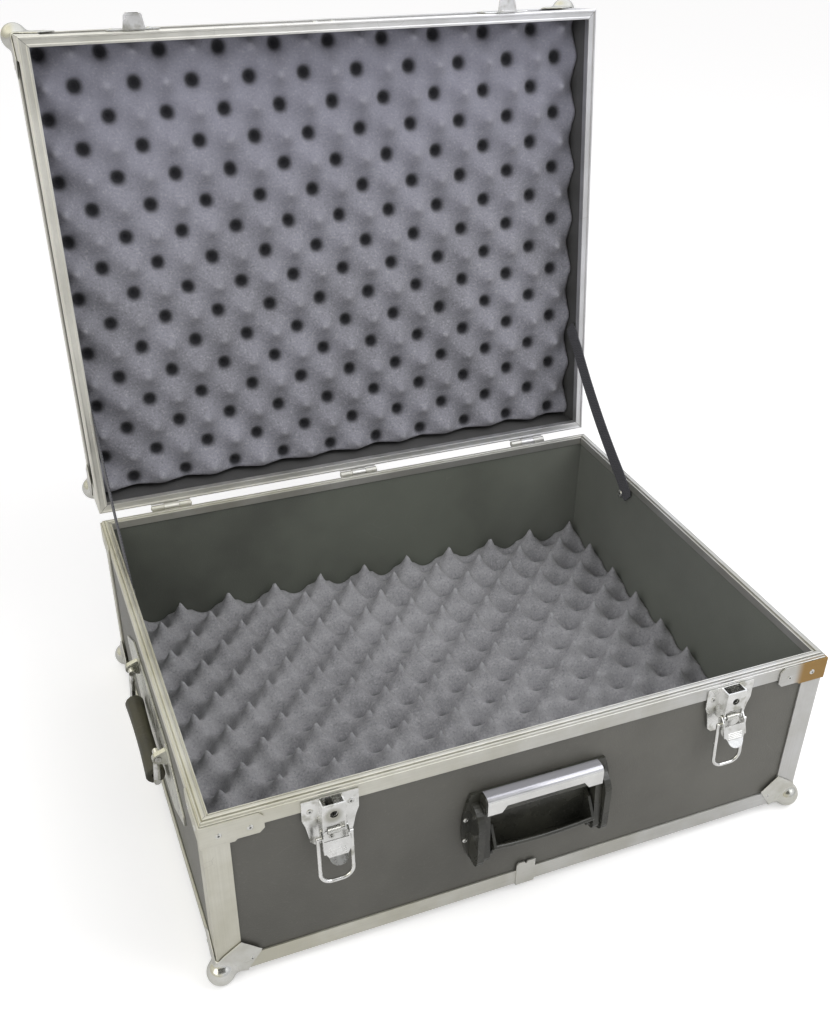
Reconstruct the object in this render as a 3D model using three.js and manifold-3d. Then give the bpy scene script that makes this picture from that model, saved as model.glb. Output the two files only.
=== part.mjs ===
// Shockproof case: a panelled box with aluminium trim, egg-crate foam, a hinged lid held open by two
// webbing stays, two bail latches, a folding front handle and a folding bail handle on each side.
// Millimetres, +Z up, the hinge side at +Y. The lid stands open, leaning back against its stays.

import * as THREE from "three";
import { mergeVertices } from "three/addons/utils/BufferGeometryUtils.js";
import Module from "manifold-3d";

// Overall size of the two halves, over the metal trim
const CASE_WIDTH = 560;
const CASE_DEPTH = 448;
const BASE_HEIGHT = 175;
const LID_HEIGHT = 70;
const OPEN_DEGREES = 96.84;

// Clearances
const FIT = 0.3;
const CLOSED_GAP = 0.6;
const OVERRUN = 4;
const WELD = 0.001;

// Walls and trim
const PANEL_THICK = 5.7;
const TRIM_THICK = 1.5;
const RIM_INNER_THICK = 1.2;
const RIM_LEG = 16;
const RIM_INNER_LEG = 8;
const RIM_WEB = 2.4;
const RIM_STEP = 0.8;
const RIM_STEP_DROP = 2.4;
const RIM_GROOVE = 0.8;
const TONGUE_INSET = 3;
const TONGUE_WIDTH = 3.4;
const TONGUE_HEIGHT = 1.2;
const TONGUE_TAPER = 0.4;
const TONGUE_CLEARANCE = 0.5;
const SLIM_GROOVE = 0.6;
const CORNER_LEG = 21;
const BOTTOM_LEG = 16;
const LID_EDGE_LEG = 18;

// Ball corners: a pressed plate with three flaps over the trim, and a ball on the point
const BALL_RADIUS = 12.5;
const BALL_INSET = 3;
const BALL_FLAT = 0.5;
const BALL_STEPS = 16;
const BALL_RINGS = 10;
const FLAP_THICK = 1.2;
const FLAP_LOW = 20;
const FLAP_HIGH = 35.5;
const FLAP_FOOT = 25;
const FLAP_REACH = 38;
const FLAP_SHOULDER = 19.5;
const SOLE_REACH = 31;
const SOLE_SHOULDER = 22;

// Riveted brackets over the rim's corners, and the clip over the joint in the front bottom trim
const BRACKET_THICK = 1.2;
const BRACKET_REACH = 48;
const BRACKET_TALL = 22;
const BRACKET_DROP = 3;
const BRACKET_ROUND = 4;
const BRACKET_NOTCH_AT = 25;
const BRACKET_NOTCH = 2;
const CLIP_AT = -5;
const CLIP_WIDTH = 18;
const CLIP_TALL = 26;
const CLIP_NICK = 3;

// Foam, cut in an egg-crate of peaks and hollows
const FOAM_PITCH = 52.7;
const BASE_FOAM_GAP = 1;
const LID_FOAM_GAP = 5;
const FOAM_WAVE = 30;
const BASE_FOAM_THICK = 62;
const LID_FOAM_THICK = 47;
const BASE_FOAM_PEAK_X = 256;
const BASE_FOAM_PEAK_Y = 196;
const LID_FOAM_PEAK_X = 0;
const LID_FOAM_PEAK_Y = -200;
const FOAM_SHARPNESS = 1.6;

// Hinges on the back
const HINGE_INSET = 73;
const HINGE_NAMES = ["left", "middle", "right"];
const HINGE_WIDTH = 41;
const HINGE_LEAF = 27;
const HINGE_THICK = 1.2;
const HINGE_AXIS_OUT = 4;
const HINGE_AXIS_UP = 0.3;
const KNUCKLE_RADIUS = 3.2;
const LID_KNUCKLE_WIDTH = 15.4;
const PIN_RADIUS = 1.5;
const PIN_HEAD = 0.8;

// Latches on the front
const LATCH_INSET = 99.4;
const LATCH_NAMES = ["left", "right"];
const LATCH_PLATE_THICK = 1.2;
const LATCH_PLATE_WIDTH = 46;
const LATCH_WAIST = 41;
const LATCH_FOOT = 34;
const LATCH_TOP_DROP = 5;
const LATCH_EAR_TALL = 19;
const LATCH_SHOULDER = 7;
const LATCH_PLATE_TALL = 48;
const LATCH_TOE = 4;
const LATCH_PIVOT_DROP = 34;
const LATCH_PIVOT_OUT = 8.5;
const BRIDGE_WIDTH = 19;
const BRIDGE_OUT = 11;
const BRIDGE_THICK = 1.2;
const BRIDGE_TOP_DROP = 5.5;
const BRIDGE_FOOT_DROP = 25;
const KEYHOLE_RADIUS = 3.4;
const KEYHOLE_DROP = 15.5;
const LUG_RADIUS = 3.1;
const LEVER_HALF_WIDTH = 11.2;
const LEVER_THICK = 1.2;
const LEVER_SKIN_IN = 3.5;
const LEVER_SKIN_START = 6.4;
const LEVER_LENGTH = 27;
const LEVER_KICK = 2.6;
const LEVER_NOSE = 7;
const LEVER_SHOULDER_AT = 15;
const LEVER_CHEEK_DEPTH = 3.4;
const LEVER_CHEEK_LENGTH = 17;
const LEVER_RIBS = 4;
const LEVER_RIB_PITCH = 1.6;
const LEVER_RIB_SIZE = 0.8;
const LEVER_RIB_WIDTH = 14;
const LEVER_REST_DEGREES = 20;
const BAIL_PIVOT_DOWN = 5;
const BAIL_WIRE = 3.6;
const BAIL_HALF_SPAN = 13.6;
const BAIL_LENGTH = 46;
const BAIL_BEND = 9.5;
const BAIL_BEND_STEPS = 8;
const BAIL_REST_DEGREES = 4;
const BAIL_LATCHED_OUT = 11.2;
const WIRE_SIDES = 8;

// Catches on the lid
const CATCH_WIDTH = 46;
const CATCH_TALL = 26;
const CATCH_THICK = 1.2;
const CATCH_RISE = 2;
const CATCH_HOOK_WIDTH = 11;
const CATCH_HOOK_THICK = 1.5;
const CATCH_LIP = 3;
const CATCH_CUT = 6;

// Front handle
const HANDLE_PLATE_WIDTH = 138;
const HANDLE_PLATE_BOTTOM = 55;
const HANDLE_PLATE_TOP = 127;
const HANDLE_PLATE_THICK = 3;
const HANDLE_PLATE_END = 124;
const HANDLE_PIVOT_OUT = 10;
const HANDLE_PIVOT_UP = 64;
const HANDLE_PIN_RADIUS = 2.5;
const HANDLE_EAR_INNER = 55.5;
const HANDLE_EAR_THICK = 6;
const HANDLE_EAR_ROUND = 8.5;
const HANDLE_EAR_TOP = 118;
const HANDLE_SCOOP_HALF = 47;
const HANDLE_SCOOP_OUT = 20;
const HANDLE_SCOOP_WALL = 2.5;
const HANDLE_SCOOP_TOP = 79;
const HANDLE_SCOOP_LIP = 2;
const HANDLE_SCOOP_RISE = 18;
const HANDLE_SCOOP_SAG = 3;
const HANDLE_SCOOP_STEPS = 6;
const HANDLE_GRIP_HALF = 54;
const HANDLE_ARM_WIDTH = 6.5;
const HANDLE_ARM_RADIUS = 6;
const HANDLE_GRIP_UP = 120;
const HANDLE_GRIP_BOTTOM = 111;
const HANDLE_GRIP_TOP = 129;
const HANDLE_GRIP_BACK = 2;
const HANDLE_GRIP_FRONT = 14.2;
const HANDLE_GRIP_ROUND = 4;
const COVER_THICK = 1.2;
const COVER_HALF = 53;
const COVER_FACE_FOOT = 119.5;
const COVER_END_FOOT = 113;
const COVER_END_WIDTH = 13;
const COVER_SLANT = 4.5;
const COVER_STEPS = 6;
const PIVOT_PLAY = 0.4;

// Bail handle on each side
const SIDE_PLATE_LENGTH = 265;
const SIDE_PLATE_TALL = 76;
const SIDE_PLATE_END = 10;
const SIDE_PLATE_FLAT = 150;
const SIDE_PLATE_THICK = 1.5;
const SIDE_PLATE_UP = 88;
const SIDE_PIVOT_UP = 104;
const SIDE_PIVOT_OUT = 7;
const SIDE_LUG_AT = 66;
const SIDE_LUG_WIDTH = 5;
const SIDE_LUG_RADIUS = 5;
const SIDE_ROD_RADIUS = 3;
const SIDE_ARM_AT = 59;
const SIDE_GRIP_UP = 72;
const SIDE_GRIP_OUT = 9.5;
const SIDE_GRIP_HALF = 53;
const SIDE_GRIP_RADIUS = 9;
const SIDE_GRIP_SIDES = 14;
const SIDE_GRIP_WAIST = 0.86;
const SIDE_GRIP_RINGS = 6;

// Webbing stays
const STRAP_WIDTH = 20;
const STRAP_THICK = 1.2;
const STRAP_BASE_FROM_BACK = 100;
const STRAP_LID_FROM_BACK = 97;
const STRAP_HELD = 30;
const STRAP_CUT = 3;
const STRAP_RIVET_RADIUS = 4;
const STRAP_RIVET_IN = 10;
const STRAP_RIVET_HEAD = 0.6;

// Facets
const ROUND_STEPS = 16;
const SMALL_STEPS = 12;
const CORNER_STEPS = 4;

// Places worked out from the sizes above
const halfWidth = CASE_WIDTH / 2;
const halfDepth = CASE_DEPTH / 2;
const panelFace = TRIM_THICK + FIT;
const panelBack = panelFace + PANEL_THICK;
const rimWidth = panelBack + FIT + RIM_INNER_THICK;
const wallTop = BASE_HEIGHT - RIM_WEB - FIT;
const hingePlaces = [HINGE_INSET - halfWidth, 0, halfWidth - HINGE_INSET];
const latchPlaces = [LATCH_INSET - halfWidth, halfWidth - LATCH_INSET];
const hingeAxisY = halfDepth + HINGE_AXIS_OUT;
const hingeAxisZ = BASE_HEIGHT + HINGE_AXIS_UP;
const radians = THREE.MathUtils.degToRad;

const wasm = await Module();
wasm.setup();

// A closed three.js geometry as a solid whose shared corners are one corner.
function solid(geometry) {
  const bare = geometry.index ? geometry.toNonIndexed() : geometry.clone();
  bare.deleteAttribute("normal");
  bare.deleteAttribute("uv");
  const merged = mergeVertices(bare, WELD);
  const build = (triVerts) =>
    new wasm.Manifold(
      new wasm.Mesh({ numProp: 3, vertProperties: merged.attributes.position.array, triVerts }),
    );
  const faces = new Uint32Array(merged.index.array);
  const made = build(faces);
  return made.volume() < 0 ? build(faces.reverse()) : made;
}

function join(...pieces) {
  return pieces.reduce((whole, piece) => whole.add(piece));
}

function cut(piece, ...tools) {
  return tools.reduce((left, tool) => left.subtract(tool), piece);
}

// A box between two opposite corners.
function block([x0, y0, z0], [x1, y1, z1]) {
  const box = new THREE.BoxGeometry(x1 - x0, y1 - y0, z1 - z0);
  return solid(box.translate((x0 + x1) / 2, (y0 + y1) / 2, (z0 + z1) / 2));
}

// An outline of [x, y] points, raised from one height to another.
function prismZ(points, from, to) {
  const shape = new THREE.Shape(points.map(([x, y]) => new THREE.Vector2(x, y)));
  const bar = new THREE.ExtrudeGeometry(shape, { depth: to - from, bevelEnabled: false });
  return solid(bar.translate(0, 0, from));
}

// An outline of [y, z] points, drawn out along X. A lift raises it from place to place along X.
function prismX(points, from, to, lift = () => 0) {
  const shape = new THREE.Shape(points.map(([y, z]) => new THREE.Vector2(y, z)));
  const bar = new THREE.ExtrudeGeometry(shape, { depth: to - from, bevelEnabled: false });
  const turn = new THREE.Matrix4().makeBasis(
    new THREE.Vector3(0, 1, 0),
    new THREE.Vector3(0, 0, 1),
    new THREE.Vector3(1, 0, 0),
  );
  bar.applyMatrix4(turn).translate(from, 0, 0);
  const place = bar.attributes.position;
  for (let i = 0; i < place.count; i += 1) {
    place.setZ(i, place.getZ(i) + lift(place.getX(i)));
  }
  return solid(bar);
}

// An outline of [x, z] points, drawn out along Y.
function prismY(points, from, to) {
  const shape = new THREE.Shape(points.map(([x, z]) => new THREE.Vector2(x, z)));
  const bar = new THREE.ExtrudeGeometry(shape, { depth: to - from, bevelEnabled: false });
  const turn = new THREE.Matrix4().makeBasis(
    new THREE.Vector3(1, 0, 0),
    new THREE.Vector3(0, 0, 1),
    new THREE.Vector3(0, -1, 0),
  );
  return solid(bar.applyMatrix4(turn).translate(0, to, 0));
}

// A round rod between two points.
function rod(radius, start, end, steps = ROUND_STEPS) {
  const a = new THREE.Vector3(...start);
  const b = new THREE.Vector3(...end);
  const run = b.clone().sub(a);
  const bar = new THREE.CylinderGeometry(radius, radius, run.length(), steps);
  bar.applyQuaternion(
    new THREE.Quaternion().setFromUnitVectors(new THREE.Vector3(0, 1, 0), run.normalize()),
  );
  const middle = a.add(b).multiplyScalar(1 / 2);
  return solid(bar.translate(middle.x, middle.y, middle.z));
}

// A rectangle with rounded corners, as points.
function roundedRectangle(x0, y0, x1, y1, radius, steps = CORNER_STEPS) {
  const middles = [
    [x1 - radius, y1 - radius],
    [x0 + radius, y1 - radius],
    [x0 + radius, y0 + radius],
    [x1 - radius, y0 + radius],
  ];
  return middles.flatMap(([x, y], quarter) =>
    arc([x, y], radius, 90 * quarter, 90 * (quarter + 1), steps),
  );
}

// Points on an arc, in degrees from the first axis towards the second.
function arc([x, y], radius, from, to, steps) {
  return Array.from({ length: steps + 1 }, (_, i) => {
    const angle = radians(from + ((to - from) * i) / steps);
    return [x + radius * Math.cos(angle), y + radius * Math.sin(angle)];
  });
}

// A frame of four mitred lengths: the profile's points are [inset from the outer face, height].
function mitredFrame(profile, outerX, outerY) {
  const corners = [
    [1, 1],
    [-1, 1],
    [-1, -1],
    [1, -1],
  ];
  const place = [];
  corners.forEach(([sx, sy]) =>
    profile.forEach(([inset, height]) =>
      place.push(sx * (outerX - inset), sy * (outerY - inset), height),
    ),
  );
  const faces = [];
  const count = profile.length;
  corners.forEach((_, corner) =>
    profile.forEach((_, j) => {
      const here = corner * count;
      const next = ((corner + 1) % corners.length) * count;
      const up = (j + 1) % count;
      faces.push(here + j, next + j, next + up, here + j, next + up, here + up);
    }),
  );
  const frame = new THREE.BufferGeometry();
  frame.setAttribute("position", new THREE.Float32BufferAttribute(place, 3));
  return solid(frame.setIndex(faces));
}

function finish(colour, roughness, metalness) {
  return new THREE.MeshStandardMaterial({ color: colour, roughness, metalness, flatShading: true });
}

const laminate = () => finish(0x62625d, 0.45, 0);
const aluminium = () => finish(0xc8c8c0, 0.38, 0.9);
const chrome = () => finish(0xd8d8d8, 0.16, 1);
const blackPlastic = () => finish(0x2d2d2b, 0.42, 0);
const foam = () => finish(0x77777c, 0.95, 0);
const webbing = () => finish(0x56565a, 0.85, 0);

// A named mesh of a solid.
function piece(name, body, material) {
  const { vertProperties, triVerts, numProp } = body.getMesh();
  const places = new Float32Array((vertProperties.length / numProp) * 3);
  for (let i = 0; i < places.length / 3; i += 1) {
    places.set(vertProperties.subarray(i * numProp, i * numProp + 3), i * 3);
  }
  const geometry = new THREE.BufferGeometry();
  geometry.setAttribute("position", new THREE.BufferAttribute(places, 3));
  geometry.setIndex(new THREE.BufferAttribute(triVerts, 1));
  geometry.computeVertexNormals();
  const mesh = new THREE.Mesh(geometry, material);
  mesh.name = name;
  return mesh;
}

// The four corners of a box seen from above, and what they are called.
const CORNERS = [
  { name: "front_left", sx: -1, sy: -1 },
  { name: "front_right", sx: 1, sy: -1 },
  { name: "back_left", sx: -1, sy: 1 },
  { name: "back_right", sx: 1, sy: 1 },
];

// One like piece on each corner: its body is drawn on the +X +Y corner, with the corner's edge at X0 Y0.
function onEachCorner(prefix, body, makeMaterial) {
  const group = new THREE.Group();
  CORNERS.forEach(({ name, sx, sy }) => {
    const mesh = piece(`${prefix}_${name}`, body, makeMaterial());
    mesh.scale.set(sx, sy, 1);
    mesh.position.set(sx * halfWidth, sy * halfDepth, 0);
    group.add(mesh);
  });
  return group;
}

// Panels: the bottom or top board lies across the whole case, and the walls stand between it and the rim.
function panels(prefix, boardName, wallEnd) {
  const group = new THREE.Group();
  const outX = halfWidth - panelFace;
  const outY = halfDepth - panelFace;
  const inX = outX - PANEL_THICK;
  const inY = outY - PANEL_THICK;
  const boardTop = panelFace + PANEL_THICK;
  const foot = boardTop + FIT;
  const walls = {
    [boardName]: [[-outX, -outY, panelFace], [outX, outY, boardTop]],
    [`${prefix}_front_panel`]: [[-outX, -outY, foot], [outX, -inY, wallEnd]],
    [`${prefix}_back_panel`]: [[-outX, inY, foot], [outX, outY, wallEnd]],
    [`${prefix}_left_panel`]: [[-outX, -inY + FIT, foot], [-inX, inY - FIT, wallEnd]],
    [`${prefix}_right_panel`]: [[inX, -inY + FIT, foot], [outX, inY - FIT, wallEnd]],
  };
  Object.entries(walls).forEach(([name, [low, high]]) =>
    group.add(piece(name, block(low, high), laminate())),
  );
  return group;
}

// Rim extrusions: a channel over the panels' edges. The base's carries a tongue, and the lid's a groove.
function baseRim() {
  const tongueOut = TONGUE_INSET;
  const tongueIn = TONGUE_INSET + TONGUE_WIDTH;
  const innerFace = rimWidth - RIM_INNER_THICK;
  const profile = [
    [0, -RIM_LEG],
    [0, -RIM_STEP_DROP],
    [RIM_STEP, -RIM_STEP_DROP],
    [RIM_STEP, 0],
    [tongueOut - SLIM_GROOVE, 0],
    [tongueOut - SLIM_GROOVE, -RIM_GROOVE],
    [tongueOut, -RIM_GROOVE],
    [tongueOut, TONGUE_HEIGHT - TONGUE_TAPER],
    [tongueOut + TONGUE_TAPER, TONGUE_HEIGHT],
    [tongueIn - TONGUE_TAPER, TONGUE_HEIGHT],
    [tongueIn, TONGUE_HEIGHT - TONGUE_TAPER],
    [tongueIn, -RIM_GROOVE],
    [innerFace, -RIM_GROOVE],
    [innerFace, 0],
    [rimWidth, 0],
    [rimWidth, -RIM_INNER_LEG],
    [innerFace, -RIM_INNER_LEG],
    [innerFace, -RIM_WEB],
    [TRIM_THICK, -RIM_WEB],
    [TRIM_THICK, -RIM_LEG],
  ];
  const raised = profile.map(([inset, height]) => [inset, height + BASE_HEIGHT]);
  return piece("base_rim", mitredFrame(raised, halfWidth, halfDepth), aluminium());
}

// The lid is drawn upside down with its outer face at Z0, so that it shares the base's functions.
function lidRim() {
  const grooveOut = TONGUE_INSET - TONGUE_CLEARANCE;
  const grooveIn = TONGUE_INSET + TONGUE_WIDTH + TONGUE_CLEARANCE;
  const innerFace = rimWidth - RIM_INNER_THICK;
  const profile = [
    [0, -RIM_LEG],
    [0, -RIM_STEP_DROP],
    [RIM_STEP, -RIM_STEP_DROP],
    [RIM_STEP, 0],
    [grooveOut, 0],
    [grooveOut, -TONGUE_HEIGHT],
    [grooveIn, -TONGUE_HEIGHT],
    [grooveIn, 0],
    [rimWidth, 0],
    [rimWidth, -RIM_INNER_LEG],
    [innerFace, -RIM_INNER_LEG],
    [innerFace, -RIM_WEB],
    [TRIM_THICK, -RIM_WEB],
    [TRIM_THICK, -RIM_LEG],
  ];
  const raised = profile.map(([inset, height]) => [inset, height + LID_HEIGHT]);
  return piece("lid_rim", mitredFrame(raised, halfWidth, halfDepth), aluminium());
}

// A corner piece is drawn with the corner's edge at X0 Y0 and the case on its -X -Y +Z side.
function ballCorner() {
  const outside = FIT + FLAP_THICK;
  const flap = [
    [outside, -outside],
    [-FLAP_FOOT, -outside],
    [-FLAP_FOOT, 0],
    [-FLAP_REACH, FLAP_SHOULDER],
    [-CORNER_LEG, FLAP_HIGH],
    [0, FLAP_LOW],
    [outside, FLAP_LOW],
  ];
  const sole = [
    [outside, outside],
    [-FLAP_FOOT, outside],
    [-SOLE_REACH, -SOLE_SHOULDER],
    [-SOLE_SHOULDER, -SOLE_REACH],
    [outside, -FLAP_FOOT],
  ];
  const plates = join(
    prismY(flap, FIT, outside),
    prismX(flap, FIT, outside),
    prismZ(sole, -outside, -FIT),
  );
  const ball = solid(
    new THREE.SphereGeometry(BALL_RADIUS, BALL_STEPS, BALL_RINGS)
      .rotateX(Math.PI / 2)
      .translate(-BALL_INSET, -BALL_INSET, BALL_INSET),
  );
  const far = BALL_RADIUS * 2;
  const room = block([-far, -far, -FIT], [FIT, FIT, far]);
  const lowest = BALL_INSET - BALL_RADIUS + BALL_FLAT;
  const ground = block([-far, -far, lowest - OVERRUN], [far, far, lowest]);
  return cut(join(plates, ball), room, ground);
}

// Vertical angle over the corner between two walls
function cornerAngle(foot, top) {
  return join(
    block([-CORNER_LEG, -TRIM_THICK, foot], [0, 0, top]),
    block([-TRIM_THICK, -CORNER_LEG, foot], [0, 0, top]),
  );
}

// Angle along one bottom edge, drawn along X with the wall's face at Y0
function edgeAngle(half) {
  const profile = [
    [0, 0],
    [BOTTOM_LEG, 0],
    [BOTTOM_LEG, TRIM_THICK],
    [TRIM_THICK, TRIM_THICK],
    [TRIM_THICK, BOTTOM_LEG],
    [0, BOTTOM_LEG],
  ];
  return prismX(profile, -half, half);
}

// The clip that covers the joint in the front bottom trim, seated on the trim
function jointClip() {
  const left = CLIP_AT - CLIP_WIDTH / 2;
  const right = CLIP_AT + CLIP_WIDTH / 2;
  const nick = CLIP_NICK / 2;
  const outline = [
    [left, -BRACKET_THICK],
    [right, -BRACKET_THICK],
    [right, CLIP_TALL],
    [CLIP_AT + nick, CLIP_TALL],
    [CLIP_AT, CLIP_TALL - CLIP_NICK],
    [CLIP_AT - nick, CLIP_TALL],
    [left + nick, CLIP_TALL],
    [left, CLIP_TALL - CLIP_NICK],
  ];
  return join(
    prismY(outline, -BRACKET_THICK, 0),
    block([left, -BRACKET_THICK, -BRACKET_THICK], [right, BOTTOM_LEG, 0]),
  );
}

function bottomTrim() {
  const group = new THREE.Group();
  const along = edgeAngle(halfWidth);
  const across = edgeAngle(halfDepth - BOTTOM_LEG - FIT);
  const sides = [
    { name: "front", body: join(along, jointClip()), x: 0, y: -halfDepth, turn: 0 },
    { name: "right", body: across, x: halfWidth, y: 0, turn: 90 },
    { name: "back", body: along, x: 0, y: halfDepth, turn: 180 },
    { name: "left", body: across, x: -halfWidth, y: 0, turn: 270 },
  ];
  sides.forEach(({ name, body, x, y, turn }) => {
    const mesh = piece(`base_bottom_angle_${name}`, body, aluminium());
    mesh.rotation.z = radians(turn);
    mesh.position.set(x, y, 0);
    group.add(mesh);
  });
  return group;
}

// The lid's edge trim: an angle all round its top with a vertical angle welded in each corner
function lidEdgeTrim() {
  const profile = [
    [0, 0],
    [LID_EDGE_LEG, 0],
    [LID_EDGE_LEG, TRIM_THICK],
    [TRIM_THICK, TRIM_THICK],
    [TRIM_THICK, LID_EDGE_LEG],
    [0, LID_EDGE_LEG],
  ];
  const posts = CORNERS.map(({ sx, sy }) =>
    cornerAngle(0, LID_HEIGHT - RIM_LEG - FIT)
      .scale([sx, sy, 1])
      .translate([sx * halfWidth, sy * halfDepth, 0]),
  );
  return piece(
    "lid_edge_trim",
    join(mitredFrame(profile, halfWidth, halfDepth), ...posts),
    aluminium(),
  );
}

// Brackets wrapped round the rim's corners
function cornerBracket() {
  const top = BASE_HEIGHT - BRACKET_DROP;
  const low = top - BRACKET_TALL;
  const outside = FIT + BRACKET_THICK;
  const arm = [
    [outside, low],
    [outside, top],
    [-BRACKET_REACH + BRACKET_ROUND, top],
    [-BRACKET_REACH, top - BRACKET_ROUND],
    [-BRACKET_REACH, low + BRACKET_NOTCH + BRACKET_ROUND],
    [-BRACKET_REACH + BRACKET_ROUND, low + BRACKET_NOTCH],
    [-BRACKET_NOTCH_AT - BRACKET_NOTCH, low + BRACKET_NOTCH],
    [-BRACKET_NOTCH_AT, low],
  ];
  return join(prismY(arm, FIT, outside), prismX(arm, FIT, outside));
}

// Foam block: a flat back and a face of peaks and hollows one half pitch apart, cut square at its edges.
function eggCrate(thick, gap, peakX, peakY) {
  const wide = halfWidth - panelBack - gap;
  const deep = halfDepth - panelBack - gap;
  const step = FOAM_PITCH / 2;
  const lines = (half, peak) => {
    const first = Math.ceil((-half - peak) / step);
    const last = Math.floor((half - peak) / step);
    const inner = [];
    for (let i = first; i <= last; i += 1) {
      inner.push(peak + i * step);
    }
    const clear = inner.filter((at) => Math.abs(at) < half - FIT);
    return [-half, ...clear, half];
  };
  const xs = lines(wide, peakX);
  const ys = lines(deep, peakY);
  const height = (x, y) => {
    const wave = Math.cos((Math.PI * (x - peakX)) / step) * Math.cos((Math.PI * (y - peakY)) / step);
    const shaped = Math.sign(wave) * Math.abs(wave) ** FOAM_SHARPNESS;
    return thick - (FOAM_WAVE * (1 - shaped)) / 2;
  };
  const place = [];
  const faces = [];
  const add = (x, y, z) => place.push(x, y, z) / 3 - 1;
  const top = ys.map((y) => xs.map((x) => add(x, y, height(x, y))));
  for (let j = 0; j + 1 < ys.length; j += 1) {
    for (let i = 0; i + 1 < xs.length; i += 1) {
      const x = (xs[i] + xs[i + 1]) / 2;
      const y = (ys[j] + ys[j + 1]) / 2;
      const middle = add(x, y, height(x, y));
      const loop = [top[j][i], top[j][i + 1], top[j + 1][i + 1], top[j + 1][i]];
      loop.forEach((corner, k) => faces.push(middle, corner, loop[(k + 1) % loop.length]));
    }
  }
  const lastX = xs.length - 1;
  const lastY = ys.length - 1;
  const edge = [
    ...xs.map((x, i) => [x, ys[0], top[0][i]]),
    ...ys.slice(1).map((y, j) => [xs[lastX], y, top[j + 1][lastX]]),
    ...xs.slice(0, -1).reverse().map((x, i) => [x, ys[lastY], top[lastY][lastX - 1 - i]]),
    ...ys.slice(1, -1).reverse().map((y, j) => [xs[0], y, top[lastY - 1 - j][0]]),
  ];
  const foot = edge.map(([x, y]) => add(x, y, 0));
  edge.forEach(([, , here], k) => {
    const next = (k + 1) % edge.length;
    faces.push(here, foot[k], foot[next], here, foot[next], edge[next][2]);
  });
  const centre = add(0, 0, 0);
  foot.forEach((corner, k) => faces.push(centre, foot[(k + 1) % foot.length], corner));
  const crate = new THREE.BufferGeometry();
  crate.setAttribute("position", new THREE.Float32BufferAttribute(place, 3));
  return solid(crate.setIndex(faces));
}

// Hinge leaves, drawn round their axis: the base's leaf hangs below it and carries the pin.
function hingeLeaf(isBase) {
  const wide = HINGE_WIDTH / 2;
  const inner = LID_KNUCKLE_WIDTH / 2;
  const near = -HINGE_AXIS_OUT + FIT;
  const side = isBase ? -1 : 1;
  const clear = KNUCKLE_RADIUS + FIT;
  const slab = (x0, x1, z0, z1) =>
    block(
      [x0, near, Math.min(side * z0, side * z1)],
      [x1, near + HINGE_THICK, Math.max(side * z0, side * z1)],
    );
  const leaf = slab(-wide, wide, clear, HINGE_LEAF);
  const knuckle = (x0, x1) => rod(KNUCKLE_RADIUS, [x0, 0, 0], [x1, 0, 0]);
  const tab = (x0, x1) => join(slab(x0, x1, FIT, clear + FIT), knuckle(x0, x1));
  if (isBase) {
    const gap = inner + FIT;
    const ends = wide + PIN_HEAD;
    const pin = rod(PIN_RADIUS, [-ends, 0, 0], [ends, 0, 0], SMALL_STEPS);
    return join(leaf, tab(-wide, -gap), tab(gap, wide), pin);
  }
  const reach = inner + OVERRUN;
  const bore = rod(PIN_RADIUS + FIT, [-reach, 0, 0], [reach, 0, 0], SMALL_STEPS);
  return cut(join(leaf, tab(-inner, inner)), bore);
}

// Latch: local X across, -Y out of the front, Z up from the trim's foot.
const latchPivotZ = BASE_HEIGHT - LATCH_PIVOT_DROP;
const outOf = (points) => points.map(([out, up]) => [-out, up]);

function latchPlate() {
  const top = BASE_HEIGHT - LATCH_TOP_DROP;
  const foot = top - LATCH_PLATE_TALL;
  const half = LATCH_PLATE_WIDTH / 2;
  const waist = LATCH_WAIST / 2;
  const toe = LATCH_FOOT / 2;
  const front = FIT + LATCH_PLATE_THICK;
  const outline = [
    [-half, top],
    [-half, top - LATCH_EAR_TALL],
    [-waist, top - LATCH_EAR_TALL - LATCH_SHOULDER],
    [-toe, foot + LATCH_TOE],
    [-toe + LATCH_TOE, foot],
    [toe - LATCH_TOE, foot],
    [toe, foot + LATCH_TOE],
    [waist, top - LATCH_EAR_TALL - LATCH_SHOULDER],
    [half, top - LATCH_EAR_TALL],
    [half, top],
  ];
  const plate = prismY(outline, -front, -FIT);
  const bridgeTop = BASE_HEIGHT - BRIDGE_TOP_DROP;
  const bridgeFoot = BASE_HEIGHT - BRIDGE_FOOT_DROP;
  const wide = BRIDGE_WIDTH / 2;
  const face = block([-wide, -BRIDGE_OUT, bridgeFoot], [wide, -BRIDGE_OUT + BRIDGE_THICK, bridgeTop]);
  const keyholeZ = BASE_HEIGHT - KEYHOLE_DROP;
  const keyhole = rod(
    KEYHOLE_RADIUS,
    [0, -BRIDGE_OUT - OVERRUN, keyholeZ],
    [0, -BRIDGE_OUT + BRIDGE_THICK + FIT, keyholeZ],
    SMALL_STEPS,
  );
  const under = front - FIT;
  const lug = outOf([
    [under, bridgeTop],
    [under, latchPivotZ - LUG_RADIUS],
    ...arc([LATCH_PIVOT_OUT, latchPivotZ], LUG_RADIUS, -90, 45, SMALL_STEPS / 2),
    [BRIDGE_OUT, bridgeFoot],
    [BRIDGE_OUT, bridgeTop],
  ]);
  const cheeks = [-1, 1].map((side) => {
    const outer = side * wide;
    const inner = side * (wide - BRIDGE_THICK);
    return prismX(lug, Math.min(outer, inner), Math.max(outer, inner));
  });
  const pinEnd = LEVER_HALF_WIDTH + FIT;
  const pin = rod(
    PIN_RADIUS,
    [-pinEnd, -LATCH_PIVOT_OUT, latchPivotZ],
    [pinEnd, -LATCH_PIVOT_OUT, latchPivotZ],
    SMALL_STEPS,
  );
  return join(plate, cut(face, keyhole), ...cheeks, pin);
}

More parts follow.
